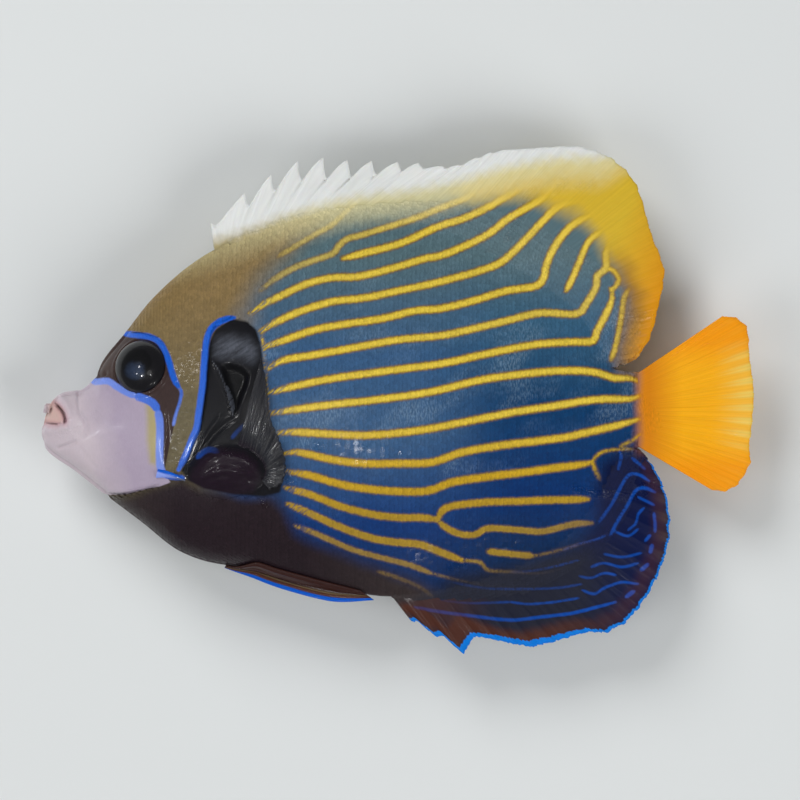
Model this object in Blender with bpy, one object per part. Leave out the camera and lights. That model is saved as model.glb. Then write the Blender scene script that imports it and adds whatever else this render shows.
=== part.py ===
"""Emperor angelfish, Pomacanthus imperator: a still, life-size model lying on its right side.

Metres, +Z up, floor at z = 0. The head points to -X, the tail to +X, the back to +Y and the
belly to -Y, and the fish's left side faces up. The body is one lofted form, parted by thin
cuts into head, torso and tail stem. The fins lie in the middle plane of the body, each a
membrane with its spines and rays as ridges in its own surface.
"""
import math

import bmesh
import bpy
from mathutils import Matrix, Vector

# Driving dimensions, in metres.
TOTAL_LENGTH = 0.150
BODY_THICKNESS = 0.0252
GAP = 0.0003
FLAT_DEPTH = 0.0006
FIN_ROOT_THICKNESS = 0.0022
FIN_EDGE_THICKNESS = 0.0006
GILL_COVER_THICKNESS = 0.0015
GILL_COVER_RISE = 0.0006
EYE_RADIUS = 0.00575
EYE_HALF_DEPTH = 0.0032
EYE_SINK = 0.0009
LOBE_RADII = (0.0066, 0.0052, 0.0026)
LOBE_SINK = 0.0008
ORBIT_RADII = (0.0061, 0.0006)
UPPER_LIP_RADIUS = 0.00095
LOWER_LIP_RADIUS = 0.00120
GROOVE_RADIUS = 0.00035
NOSTRIL_RADIUS = 0.00045
NOSTRIL_DEPTH = 0.0009
CHEEK_SPINE_RADII = (0.0011, 0.0003)
SPINE_TIP_THICKNESS = 0.00045
MEMBRANE_THICKNESS = 0.00055
FIN_CLEARANCE = 0.00036
SLOT_REACH = 0.015
WELD = 0.000001
SHARP_ANGLE = 35

# The outlines are written in 150ths of the total length, from the middle of the whole fish.
UNIT = TOTAL_LENGTH / 150
MIDDLE = BODY_THICKNESS / 2 - FLAT_DEPTH

BACK = [(-75.0, -5.2), (-74.7, -3.6), (-72.9, 0.2), (-70.2, 1.9), (-67.2, 2.3), (-65.5, 3.4),
        (-64.0, 5.1), (-62.6, 8.2), (-58.1, 13.9), (-52.4, 21.1), (-45.0, 27.9),
        (-39.4, 31.6), (-29.2, 36.3), (-16.6, 39.2), (-3.9, 39.7), (8.8, 36.7), (21.4, 30.4),
        (30.9, 24.7), (38.3, 18.6), (43.1, 11.6), (46.7, 7.2), (52.0, 6.1)]
BELLY = [(-75.0, -8.6), (-74.6, -10.2), (-73.1, -11.8), (-68.7, -14.8), (-62.6, -19.6), (-54.5, -25.7),
         (-46.1, -32.1), (-40.2, -34.3), (-31.3, -35.8), (-20.8, -38.6), (-10.2, -40.6),
         (-2.2, -41.6), (8.8, -40.5), (21.4, -36.9), (34.1, -30.6), (42.1, -21.1), (45.7, -13.7),
         (48.8, -10.5), (52.0, -10.1)]
HALF_WIDTH = [(-75.0, 1.0), (-74.6, 1.9), (-73.5, 3.0), (-70.5, 4.2), (-67.2, 5.2),
              (-60.9, 7.0), (-54.5, 8.8), (-46.1, 10.6), (-37.7, 12.0), (-27.1, 12.6),
              (-14.5, 12.4), (0.3, 11.0), (15.1, 8.8), (29.9, 6.2), (42.5, 4.0), (49.0, 2.6),
              (52.0, 1.9)]
KEEL = [(-75.0, 0.6), (-60.0, 0.8), (-40.0, 1.1), (52.0, 1.1)]
BACK_POWER = [(-75.0, 0.5), (-60.0, 0.55), (-45.0, 0.7), (-25.0, 0.85), (52.0, 0.75)]
BELLY_POWER = [(-75.0, 0.5), (-50.0, 0.5), (-35.0, 0.6), (-15.0, 0.8), (52.0, 0.75)]
SECTION_POWER = 2.2
SECTION_SAG = 0.12

# The rear edge of the head, as height from belly (-1) to back (+1) against length.
HEAD_EDGE = [(-1.0, -47.0), (-0.55, -44.5), (-0.3, -41.5), (-0.1, -35.6), (0.0, -34.5),
             (0.15, -35.5), (0.42, -38.9), (0.7, -41.0), (1.0, -42.0)]
SNOUT_X = -75.0
HEAD_END = -44.0
BEND_END = 6.0
STEM_START = 44.0
BODY_END = 52.0
SIDE_STEPS = 22
EDGE_CROWDING = 0.5
NORMAL_REACH = 1.5
HEAD_STATIONS = 16
HEAD_CROWDING = 1.6
TORSO_STATIONS = 31
STEM_STATIONS = 6

EYE_CENTRE = (-54.4, 7.1)
NOSTRILS = [(-63.0, 4.9), (-61.7, 6.2)]
MOUTH_SLOT = [(-74.2, 0.2), (-72.7, -0.5), (-71.4, -1.3), (-70.6, -2.3), (-70.1, -3.6),
              (-70.1, -4.6), (-70.4, -5.2), (-70.9, -4.6), (-71.0, -3.8), (-71.6, -2.7),
              (-72.5, -1.7), (-73.3, -1.0), (-74.4, -0.7)]
# Each lip is a roll round the jaw: length, height and its share of the jaw's half thickness.
UPPER_LIP = [(-69.4, -5.3, 0.9), (-69.1, -4.2, 0.9), (-69.3, -2.8, 0.88), (-70.0, -1.5, 0.86),
             (-71.0, -0.5, 0.84), (-71.8, -0.05, 0.7), (-72.2, -0.1, 0.0)]
LOWER_LIP = [(-69.4, -5.7, 0.9), (-70.2, -6.3, 0.88), (-71.6, -6.4, 0.86), (-73.0, -6.3, 0.8),
             (-73.9, -6.2, 0.55), (-74.1, -6.2, 0.0)]
CORNER_TAPER = 0.55
LIP_POINTS = 17
LIP_ROUNDNESS = 3
LIP_GROOVE = [(-70.3, -5.0, 1.0), (-71.8, -4.9, 1.0), (-73.4, -4.7, 1.0), (-74.4, -4.6, 0.9),
              (-74.8, -4.5, 0.0)]
CHEEK_SPINE_ROOT = (-50.2, -15.3)
CHEEK_SPINE_TIP = (-44.9, -17.0)
CHEEK_SPINE_RISE = (-1.25, 0.45)
ROD_SIDES = 8
ORBIT_SEGMENTS = (28, 6)
EYE_SEGMENTS = (20, 10)
LOBE_CENTRE = (-35.3, -15.0)
LOBE_SEGMENTS = (20, 8)
LOBE_MARGIN = 0.5
GILL_FRONT = [(-45.4, -12.4), (-48.2, -9.6), (-49.0, -4.2), (-48.4, 4.2), (-46.7, 10.5),
              (-43.0, 14.3)]
GILL_REAR_HEIGHTS = (-13.2, 14.6)
GILL_REAR_INSET = 0.1
GILL_ROWS = 11
GILL_COLUMNS = 5
# The pocket for a gill cover opens through the skin and through the head's rear edge.
POCKET_COVER = 3.0
POCKET_STRETCH = 3
SEARCH_PASSES = 8

SPINE_TIPS = [(-39.8, 37.6), (-32.4, 43.7), (-26.9, 47.5), (-21.2, 50.4), (-15.9, 51.1),
              (-10.7, 50.6), (-5.6, 50.4), (-0.1, 50.2), (4.3, 50.0), (9.3, 49.4), (12.6, 49.6),
              (16.4, 51.2), (19.3, 52.2), (22.5, 52.8)]
DORSAL_MARGIN = [(26.7, 53.0), (36.6, 53.6), (42.1, 52.5), (46.5, 50.0), (50.1, 45.8),
                 (51.8, 40.9), (53.5, 34.6), (56.2, 27.4), (54.5, 19.2), (53.1, 12.7),
                 (51.0, 9.4)]
SPINE_NOTCHES = (2.0, 3.4, 3.8, 4.2, 4.4, 3.4, 2.9, 2.2, 1.7, 1.4, 1.1, 0.9, 0.7)
DORSAL_BASE_X = (-39.3, 8.8, 44.6)
DORSAL_RAYS = 19
ANAL_SPINE_TIPS = [(2.8, -46.8), (8.1, -50.0), (13.8, -53.6)]
ANAL_NOTCHES = (1.0, 1.2)
ANAL_MARGIN = [(16.1, -49.8), (23.5, -51.3), (28.8, -52.1), (39.1, -49.2), (44.4, -49.0),
               (48.2, -46.8), (52.0, -42.0), (55.2, -36.1), (56.9, -30.8), (57.3, -25.3),
               (56.4, -19.6), (54.2, -15.4), (51.4, -12.6)]
ANAL_BASE_X = (-2.2, 5.2, 46.0)
ANAL_RAYS = 19
TAIL_MARGIN = [(68.3, 17.7), (71.2, 17.5), (73.7, 15.2), (74.0, 9.9), (74.8, 4.2), (75.0, 0.0),
               (74.6, -5.3), (74.0, -10.8), (74.3, -13.5), (71.2, -18.4), (68.9, -19.4),
               (66.1, -19.0)]
TAIL_ROOT = (5.7, -9.8)
TAIL_RAYS = 17
TAIL_ROOT_HALF = 1.5
FIN_WAVE = 0.8
WAVE_LENGTH = 60
FIN_ROWS = 6
TAIL_ROWS = 7
SLOPE_REACH = 0.2
# How fast spines, rays and membrane thin out from root to tip.
SPINE_FALL = 0.8
RAY_FALL = 1.2
MEMBRANE_FALL = 3
MEMBRANE_ROOT_SHARE = 0.8
PECTORAL_ARC = (85, -25)
PECTORAL_MARGIN = [(-28.8, 8.9), (-27.5, 3.2), (-26.9, -3.2), (-24.8, -8.4), (-23.5, -13.1),
                   (-24.2, -17.3), (-27.1, -18.8)]
PECTORAL_RAYS = 19
# Thickness of folded fins near their roots and tips, on a ray and between rays.
PECTORAL_THICKNESS = (1.1, 0.7)
PECTORAL_MEMBRANE = (0.75, 0.5)
PECTORAL_LIFT = 0.7
PECTORAL_PRESSED = 0.9
PECTORAL_GROOVE = 0.2
PECTORAL_ROWS = 5
RECESS_FLOOR = -1.0
LAY_GAP = 0.45
PELVIC_LOW = [(-36.6, -35.2), (-31.3, -37.3), (-25.0, -39.7), (-16.6, -42.0), (-11.9, -42.6),
              (-5.2, -42.2)]
PELVIC_HIGH = [(-35.3, -33.6), (-30.1, -34.0), (-25.0, -35.6), (-16.6, -37.9), (-8.1, -40.1)]
PELVIC_RAYS = 6
PELVIC_ROWS = 10
NOTCH_PLACE = 0.22
MEMBRANE_DIP = 0.3

COLOURS = {
    "head": (0.27, 0.20, 0.11), "gill_cover": (0.22, 0.17, 0.08), "eye": (0.01, 0.01, 0.015),
    "torso": (0.05, 0.12, 0.22), "tail_stem": (0.55, 0.27, 0.03),
    "dorsal_fin": (0.70, 0.52, 0.10), "anal_fin": (0.01, 0.03, 0.12),
    "tail_fin": (0.85, 0.38, 0.02), "pectoral_fin": (0.10, 0.10, 0.12),
    "pelvic_fin": (0.20, 0.05, 0.02),
}
SKIN_ROUGHNESS = 0.35
EYE_ROUGHNESS = 0.08


def smooth(points):
    """Return y(x): a smooth curve through the points that never swings past them."""
    xs = [p[0] for p in points]
    ys = [p[1] for p in points]
    last = len(points) - 1
    steps = [xs[i + 1] - xs[i] for i in range(last)]
    rises = [(ys[i + 1] - ys[i]) / steps[i] for i in range(last)]
    slopes = [rises[0]]
    for i in range(1, last):
        if rises[i - 1] * rises[i] <= 0:
            slopes.append(0.0)
        else:
            slopes.append(2 * rises[i - 1] * rises[i] / (rises[i - 1] + rises[i]))
    slopes.append(rises[-1])

    def value(x):
        x = min(max(x, xs[0]), xs[-1])
        i = 0
        while i < last - 1 and x > xs[i + 1]:
            i += 1
        t = (x - xs[i]) / steps[i]
        keep = (1 + 2 * t) * (1 - t) ** 2
        leave = t * (1 - t) ** 2 * steps[i]
        reach = t * t * (3 - 2 * t)
        arrive = t * t * (t - 1) * steps[i]
        return ys[i] * keep + slopes[i] * leave + ys[i + 1] * reach + slopes[i + 1] * arrive

    return value


def spread(points, count, fine=16):
    """Return count points evenly spaced along a smooth open curve through the points."""
    line = [Vector(p) for p in points]
    ends = [2 * line[0] - line[1]] + line + [2 * line[-1] - line[-2]]
    dense = []
    for i in range(len(line) - 1):
        a, b, c, d = ends[i:i + 4]
        for k in range(fine):
            t = k / fine
            dense.append(0.5 * (2 * b + (c - a) * t + (2 * a - 5 * b + 4 * c - d) * t * t
                                + (3 * b - a - 3 * c + d) * t ** 3))
    dense.append(line[-1])
    return pace(dense, count)


def pace(dense, count):
    """Return count points evenly spaced along a polyline."""
    lengths = [0.0]
    for p, q in zip(dense, dense[1:]):
        lengths.append(lengths[-1] + (q - p).length)
    found = []
    i = 0
    for k in range(count):
        goal = lengths[-1] * k / (count - 1)
        while i < len(dense) - 2 and lengths[i + 1] < goal:
            i += 1
        part = (goal - lengths[i]) / (lengths[i + 1] - lengths[i])
        found.append(dense[i].lerp(dense[i + 1], part))
    return found


back = smooth(BACK)
belly = smooth(BELLY)
half_width = smooth(HALF_WIDTH)
keel = smooth(KEEL)
back_power = smooth(BACK_POWER)
belly_power = smooth(BELLY_POWER)
head_edge = smooth(HEAD_EDGE)


def step_between(low, high, x):
    """Rise smoothly from 0 at low to 1 at high."""
    t = min(max((x - low) / (high - low), 0.0), 1.0)
    return t * t * (3 - 2 * t)


def station_x(u, s):
    """Length of a section point: sections near the gills bend with the head's rear edge."""
    if u < HEAD_END:
        weight = step_between(SNOUT_X, HEAD_END, u)
    else:
        weight = 1 - step_between(HEAD_END, BEND_END, u)
    return u + weight * (head_edge(s) - HEAD_END)


def thickness_at(x, s):
    """Half thickness of the body at length x and height s from belly (-1) to back (+1)."""
    s = min(max(s, -1.0), 1.0)
    lean = s + SECTION_SAG * (1 - s * s)
    power = back_power(x) if lean > 0 else belly_power(x)
    swell = max(0.0, 1 - abs(lean) ** SECTION_POWER) ** power
    edge = keel(x)
    return edge + (half_width(x) - edge) * swell


def skin_at(x, y):
    """Half thickness of the body at a point of the fish's plane."""
    top = back(x)
    bottom = belly(x)
    return thickness_at(x, (2 * y - top - bottom) / (top - bottom))


def skin_normal(x, y):
    """Outward direction of the left flank at a point of the fish's plane."""
    reach = NORMAL_REACH
    along_x = (skin_at(x + reach, y) - skin_at(x - reach, y)) / (2 * reach)
    along_y = (skin_at(x, y + reach) - skin_at(x, y - reach)) / (2 * reach)
    return Vector((-along_x, -along_y, 1)).normalized()


def place(x, y, z):
    """Turn outline units, with z from the middle plane, into metres above the floor."""
    return Vector((x * UNIT, y * UNIT, z * UNIT + MIDDLE))


def new_object(name, vertices, faces, collection):
    """Make a mesh object from a list of points and faces, with its faces pointing out."""
    mesh = bpy.data.meshes.new(name)
    mesh.from_pydata(vertices, [], faces)
    form = bmesh.new()
    form.from_mesh(mesh)
    bmesh.ops.recalc_face_normals(form, faces=form.faces)
    form.to_mesh(mesh)
    form.free()
    piece = bpy.data.objects.new(name, mesh)
    collection.objects.link(piece)
    return piece


def loft(name, stations, collection):
    """Loft the body between stations: both flanks, the keels and the two end walls."""
    vertices = []
    faces = []
    rows = SIDE_STEPS + 1
    for u in stations:
        for side in (1, -1):
            for k in range(rows):
                even = 2 * k / SIDE_STEPS - 1
                crowded = -math.cos(math.pi * k / SIDE_STEPS)
                s = even + (crowded - even) * EDGE_CROWDING
                x = station_x(u, s)
                y = belly(x) + (back(x) - belly(x)) * (s + 1) / 2
                vertices.append(place(x, y, side * thickness_at(x, s)))
    ring = 2 * rows
    for i in range(len(stations) - 1):
        for side in (0, rows):
            for k in range(SIDE_STEPS):
                a = i * ring + side + k
                faces.append((a, a + 1, a + ring + 1, a + ring))
        for k in (0, SIDE_STEPS):
            a = i * ring + k
            faces.append((a, a + ring, a + ring + rows, a + rows))
    for i in (0, len(stations) - 1):
        for k in range(SIDE_STEPS):
            a = i * ring + k
            faces.append((a, a + 1, a + 1 + rows, a + rows))
    return new_object(name, vertices, faces, collection)


def sheet(name, columns, collection):
    """Close a grid of (upper point, lower point) pairs into a thin body of triangles."""
    rows = len(columns[0])
    upper = [pair[0] for column in columns for pair in column]
    lower = [pair[1] for column in columns for pair in column]
    count = len(upper)
    faces = []

    def both(a, b, c):
        faces.append((a, b, c))
        faces.append((c + count, b + count, a + count))

    for i in range(len(columns) - 1):
        for k in range(rows - 1):
            a = i * rows + k
            both(a, a + 1, a + rows + 1)
            both(a, a + rows + 1, a + rows)
    rim = [k for k in range(rows)]
    rim += [i * rows + rows - 1 for i in range(1, len(columns))]
    rim += [(len(columns) - 1) * rows + k for k in range(rows - 2, -1, -1)]
    rim += [i * rows for i in range(len(columns) - 2, 0, -1)]
    for a, b in zip(rim, rim[1:] + rim[:1]):
        faces.append((a, b, b + count))
        faces.append((a, b + count, a + count))
    return new_object(name, upper + lower, faces, collection)


def combine(target, pieces, operation):
    """Join closed pieces to the target or cut them from it, and drop the pieces."""
    group = bpy.data.collections.new("pieces")
    for piece in pieces:
        for holder in list(piece.users_collection):
            holder.objects.unlink(piece)
        group.objects.link(piece)
    change = target.modifiers.new("combine", "BOOLEAN")
    change.operation = operation
    change.operand_type = "COLLECTION"
    change.collection = group
    change.solver = "EXACT"
    bpy.context.scene.collection.children.link(group)
    view = bpy.context.evaluated_depsgraph_get()
    result = bpy.data.meshes.new_from_object(target.evaluated_get(view))
    target.modifiers.clear()
    target.data = result
    for piece in pieces:
        bpy.data.objects.remove(piece)
    bpy.data.collections.remove(group)
    keep_largest(target)


def keep_largest(target):
    """Keep only the largest closed surface of a mesh."""
    form = bmesh.new()
    form.from_mesh(target.data)
    bmesh.ops.remove_doubles(form, verts=form.verts, dist=WELD)
    left = set(form.faces)
    islands = []
    while left:
        island = [left.pop()]
        for face in island:
            for edge in face.edges:
                for other in edge.link_faces:
                    if other in left:
                        left.remove(other)
                        island.append(other)
        islands.append(island)
    islands.sort(key=lambda island: sum(face.calc_area() for face in island))
    loose = [face for island in islands[:-1] for face in island]
    bmesh.ops.delete(form, geom=loose, context="FACES")
    form.to_mesh(target.data)
    form.free()


def ellipsoid(name, centre, radii, turn, segments, collection):
    """Make a ball with its own radii, its poles turned to a direction."""
    form = bmesh.new()
    around, rings = segments
    bmesh.ops.create_uvsphere(form, u_segments=around, v_segments=rings, radius=1)
    mesh = bpy.data.meshes.new(name)
    form.to_mesh(mesh)
    form.free()
    facing = turn.to_track_quat("Z", "Y").to_matrix().to_4x4()
    mesh.transform(Matrix.Translation(centre) @ facing @ Matrix.Diagonal((*radii, 1)))
    piece = bpy.data.objects.new(name, mesh)
    collection.objects.link(piece)
    return piece


def floor_block(collection):
    """A block below the floor that cuts the resting flats."""
    size = 2 * TOTAL_LENGTH
    form = bmesh.new()
    bmesh.ops.create_cube(form, size=size)
    mesh = bpy.data.meshes.new("floor_block")
    form.to_mesh(mesh)
    form.free()
    mesh.transform(Matrix.Translation((0, 0, -size / 2)))
    piece = bpy.data.objects.new("floor_block", mesh)
    collection.objects.link(piece)
    return piece


def flank(x, y, side, rise):
    """A point over the left (1) or right (-1) flank, rise above the skin."""
    return place(x, y, side * (skin_at(x, y) + rise))


def gill_edges(grow):
    """Front and rear edge of the gill cover, from low to high, grown outwards."""
    front = spread(GILL_FRONT, GILL_ROWS)
    low, high = GILL_REAR_HEIGHTS
    rear = []
    for k in range(GILL_ROWS):
        y = low + (high - low) * k / (GILL_ROWS - 1)
        x = HEAD_END
        for _ in range(SEARCH_PASSES):
            s = (2 * y - back(x) - belly(x)) / (back(x) - belly(x))
            x = head_edge(s)
        rear.append(Vector((x - GILL_REAR_INSET, y)))
    for k, (a, b) in enumerate(zip(front, rear)):
        a.x -= grow
        b.x += POCKET_STRETCH * grow
        end = -1 if k == 0 else 1 if k == GILL_ROWS - 1 else 0
        a.y += end * grow
        b.y += end * grow
    return front, rear


def gill_plate(name, side, collection, grow=0.0):
    """A shell plate over the gills, flush in front and raised along its rear edge."""
    front, rear = gill_edges(grow)
    thick = GILL_COVER_THICKNESS / UNIT
    rise = GILL_COVER_RISE / UNIT
    cover = POCKET_COVER if grow else 0.0
    columns = []
    for i in range(GILL_COLUMNS + 1):
        part = i / GILL_COLUMNS
        column = []
        for a, b in zip(front, rear):
            x, y = a.lerp(b, part)
            lift = rise * part
            outer = flank(x, y, side, lift + cover)
            inner = flank(x, y, side, rise - thick - grow)
            column.append((outer, inner))
        columns.append(column)
    return sheet(name, columns, collection)


def eye_ball(name, side, collection, grow=0.0):
    """An eye, its pole facing straight out of the skin."""
    x, y = EYE_CENTRE
    out = skin_normal(x, y)
    out.z *= side
    centre = flank(x, y, side, 0) - out * EYE_SINK
    radii = (EYE_RADIUS + grow, EYE_RADIUS + grow, EYE_HALF_DEPTH + grow)
    return ellipsoid(name, centre, radii, out, EYE_SEGMENTS, collection)


def lobe(side, collection):
    """The fleshy root of the pectoral fin."""
    x, y = LOBE_CENTRE
    centre = flank(x, y, side, -LOBE_SINK / UNIT)
    return ellipsoid("lobe", centre, LOBE_RADII, Vector((0, 0, 1)), LOBE_SEGMENTS, collection)


def profile_points(profile, start, end, count, away, fine=200):
    """Even points along the back or the belly, a gap off the skin."""
    dense = []
    for k in range(fine + 1):
        x = start + (end - start) * k / fine
        slope = (profile(x + SLOPE_REACH) - profile(x - SLOPE_REACH)) / (2 * SLOPE_REACH)
        normal = Vector((-slope, 1)).normalized() * away
        dense.append(Vector((x, profile(x))) + normal)
    return pace(dense, count)


def ribbed(roots, tips, notches=()):
    """Lines of (root, tip, kind) across a fin: its spines and rays, and membrane between."""
    lines = []
    for i, (root, tip) in enumerate(zip(roots, tips)):
        spiny = i <= len(notches) and len(notches) > 0
        lines.append((root, tip, "spine" if spiny else "ray"))
        if i == len(roots) - 1:
            break
        along = (tip - root).normalized()
        if i < len(notches):
            notch = tip.lerp(tips[i + 1], NOTCH_PLACE) - along * notches[i]
            lines.append((root.lerp(roots[i + 1], NOTCH_PLACE), notch, "membrane"))
            rise = notch.lerp(tips[i + 1], 0.5)
            lines.append((root.lerp(roots[i + 1], (1 + NOTCH_PLACE) / 2), rise, "membrane"))
        else:
            dip = tip.lerp(tips[i + 1], 0.5) - along * MEMBRANE_DIP
            lines.append((root.lerp(roots[i + 1], 0.5), dip, "membrane"))
    return lines


def half_thickness(kind, root, part):
    """Half thickness of a fin line at its share of the way from root to tip."""
    if kind == "membrane":
        edge = MEMBRANE_THICKNESS / UNIT / 2
        return edge + (MEMBRANE_ROOT_SHARE * root - edge) * (1 - part) ** MEMBRANE_FALL
    if kind == "spine":
        edge = SPINE_TIP_THICKNESS / UNIT / 2
        return edge + (root - edge) * (1 - part) ** SPINE_FALL
    edge = FIN_EDGE_THICKNESS / UNIT / 2
    return edge + (root - edge) * (1 - part) ** RAY_FALL


def membrane(name, lines, root, rows, collection):
    """A fin in the middle plane, its rays as ridges on both faces."""
    columns = []
    for start, tip, kind in lines:
        column = []
        for k in range(rows):
            part = k / (rows - 1)
            x, y = start.lerp(tip, part)
            half = half_thickness(kind, root, part)
            z = FIN_WAVE * part * math.sin(2 * math.pi * (x + y) / WAVE_LENGTH)
            column.append((place(x, y, z + half), place(x, y, z - half)))
        columns.append(column)
    return sheet(name, columns, collection)


ROOT_HALF = FIN_ROOT_THICKNESS / UNIT / 2
FIN_OFFSET = FIN_CLEARANCE / UNIT


def dorsal_fin(collection):
    """Fourteen spines and the soft rays along the back."""
    start, change, end = DORSAL_BASE_X
    roots = profile_points(back, start, change, len(SPINE_TIPS), FIN_OFFSET)
    roots += profile_points(back, change, end, DORSAL_RAYS + 1, FIN_OFFSET)[1:]
    tips = [Vector(p) for p in SPINE_TIPS] + spread(DORSAL_MARGIN, DORSAL_RAYS)
    lines = ribbed(roots, tips, SPINE_NOTCHES)
    return membrane("dorsal_fin", lines, ROOT_HALF, FIN_ROWS, collection)


def anal_fin(collection):
    """Three spines and the soft rays behind the belly."""
    start, change, end = ANAL_BASE_X
    roots = profile_points(belly, start, change, len(ANAL_SPINE_TIPS), -FIN_OFFSET)
    roots += profile_points(belly, change, end, ANAL_RAYS + 1, -FIN_OFFSET)[1:]
    tips = [Vector(p) for p in ANAL_SPINE_TIPS] + spread(ANAL_MARGIN, ANAL_RAYS)
    lines = ribbed(roots, tips, ANAL_NOTCHES)
    return membrane("anal_fin", lines, ROOT_HALF, FIN_ROWS, collection)


def tail_fin(collection):
    """The fan behind the tail stem."""
    top, bottom = TAIL_ROOT
    x = BODY_END + FIN_OFFSET
    roots = pace([Vector((x, top)), Vector((x, bottom))], TAIL_RAYS)
    lines = ribbed(roots, spread(TAIL_MARGIN, TAIL_RAYS))
    return membrane("tail_fin", lines, TAIL_ROOT_HALF, TAIL_ROWS, collection)


def pectoral_lines():
    """Root and tip of each pectoral ray, round the fleshy lobe."""
    wide = LOBE_RADII[0] / UNIT + LOBE_MARGIN
    tall = LOBE_RADII[1] / UNIT + LOBE_MARGIN
    roots = []
    for k in range(PECTORAL_RAYS):
        first, last = PECTORAL_ARC
        angle = math.radians(first + (last - first) * k / (PECTORAL_RAYS - 1))
        x = LOBE_CENTRE[0] + wide * math.cos(angle)
        y = LOBE_CENTRE[1] + tall * math.sin(angle)
        roots.append(Vector((x, y)))
    return ribbed(roots, spread(PECTORAL_MARGIN, PECTORAL_RAYS))


def pectoral_left(collection):
    """The upper pectoral fin, folded back along the flank."""
    columns = []
    for start, tip, kind in pectoral_lines():
        thick, thin = PECTORAL_THICKNESS if kind == "ray" else PECTORAL_MEMBRANE
        column = []
        for k in range(PECTORAL_ROWS):
            part = k / (PECTORAL_ROWS - 1)
            x, y = start.lerp(tip, part)
            under = LAY_GAP + PECTORAL_LIFT * part
            over = under + thick + (thin - thick) * part
            column.append((flank(x, y, 1, over), flank(x, y, 1, under)))
        columns.append(column)
    return sheet("pectoral_fin_left", columns, collection)


def pectoral_right(name, collection, grow=0.0):
    """The lower pectoral fin, pressed flat between the flank and the floor.

    Grown, it is the recess in the flank that takes it.
    """
    lines = pectoral_lines()
    columns = []
    for i, (start, tip, kind) in enumerate(lines):
        ahead = lines[min(i + 1, len(lines) - 1)]
        behind = lines[max(i - 1, 0)]
        groove = 0.0 if kind == "ray" else PECTORAL_GROOVE
        column = []
        for k in range(PECTORAL_ROWS):
            part = k / (PECTORAL_ROWS - 1)
            point = start.lerp(tip, part)
            low = groove
            if grow:
                across = ahead[0].lerp(ahead[1], part) - behind[0].lerp(behind[1], part)
                side = 1 if i == len(lines) - 1 else -1 if i == 0 else 0
                end = 1 if k == PECTORAL_ROWS - 1 else -1 if k == 0 else 0
                point = point + across.normalized() * side * grow
                point = point + (tip - start).normalized() * end * grow
                low = RECESS_FLOOR
            x, y = point * UNIT
            high = (PECTORAL_PRESSED + grow) * UNIT
            column.append((Vector((x, y, high)), Vector((x, y, low * UNIT))))
        columns.append(column)
    return sheet(name, columns, collection)


def pelvic_fin(name, side, collection):
    """A pelvic fin folded back along the keel of the belly."""
    low = spread(PELVIC_LOW, PELVIC_ROWS)
    high = spread(PELVIC_HIGH, PELVIC_ROWS)
    columns = []
    for i in range(2 * PELVIC_RAYS - 1):
        across = i / (2 * PELVIC_RAYS - 2)
        thick, thin = PECTORAL_THICKNESS if i % 2 == 0 else PECTORAL_MEMBRANE
        column = []
        for k in range(PELVIC_ROWS):
            part = k / (PELVIC_ROWS - 1)
            x, y = low[k].lerp(high[k], across)
            over = LAY_GAP + thick + (thin - thick) * part
            column.append((flank(x, y, side, over), flank(x, y, side, LAY_GAP)))
        columns.append(column)
    return sheet(name, columns, collection)


def solid_curve(name, curve, collection):
    """Turn a curve into a closed mesh with welded caps."""
    guide = bpy.data.objects.new(name, curve)
    bpy.context.scene.collection.objects.link(guide)
    view = bpy.context.evaluated_depsgraph_get()
    mesh = bpy.data.meshes.new_from_object(guide.evaluated_get(view))
    bpy.data.objects.remove(guide)
    form = bmesh.new()
    form.from_mesh(mesh)
    bmesh.ops.remove_doubles(form, verts=form.verts, dist=WELD)
    bmesh.ops.recalc_face_normals(form, faces=form.faces)
    form.to_mesh(mesh)
    form.free()
    piece = bpy.data.objects.new(name, mesh)
    collection.objects.link(piece)
    return piece


def roll(name, path, radius, collection):
    """A round roll from the left corner of the mouth round the front to the right one."""
    left = [Vector((x, y, share * skin_at(x, y))) for x, y, share in path]
    right = [Vector((p.x, p.y, -p.z)) for p in reversed(left[:-1])]
    curve = bpy.data.curves.new(name, "CURVE")
    curve.dimensions = "3D"
    curve.bevel_depth = radius
    curve.bevel_resolution = LIP_ROUNDNESS
    curve.use_fill_caps = True
    line = curve.splines.new("POLY")
    line.points.add(LIP_POINTS - 1)
    for k, point in enumerate(spread(left + right, LIP_POINTS)):
        line.points[k].co = (*place(*point), 1)
        line.points[k].radius = CORNER_TAPER if k in (0, LIP_POINTS - 1) else 1.0
    return solid_curve(name, curve, collection)


def mouth_slot(collection):
    """The gape, as a curved slot through both jaws."""
    curve = bpy.data.curves.new("mouth_slot", "CURVE")
    curve.dimensions = "2D"
    curve.fill_mode = "BOTH"
    curve.extrude = SLOT_REACH
    line = curve.splines.new("POLY")
    line.points.add(len(MOUTH_SLOT) - 1)
    line.use_cyclic_u = True
    for k, (x, y) in enumerate(MOUTH_SLOT):
        line.points[k].co = (x * UNIT, y * UNIT, 0, 1)
    slot = solid_curve("mouth_slot", curve, collection)
    slot.data.transform(Matrix.Translation((0, 0, MIDDLE)))
    return slot


def rod(name, start, end, radii, collection):
    """A round rod or cone between two points."""
    form = bmesh.new()
    bmesh.ops.create_cone(form, cap_ends=True, segments=ROD_SIDES, radius1=radii[0],
                          radius2=radii[1], depth=(end - start).length)
    mesh = bpy.data.meshes.new(name)
    form.to_mesh(mesh)
    form.free()
    facing = (end - start).to_track_quat("Z", "Y").to_matrix().to_4x4()
    mesh.transform(Matrix.Translation((start + end) / 2) @ facing)
    piece = bpy.data.objects.new(name, mesh)
    collection.objects.link(piece)
    return piece


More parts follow.
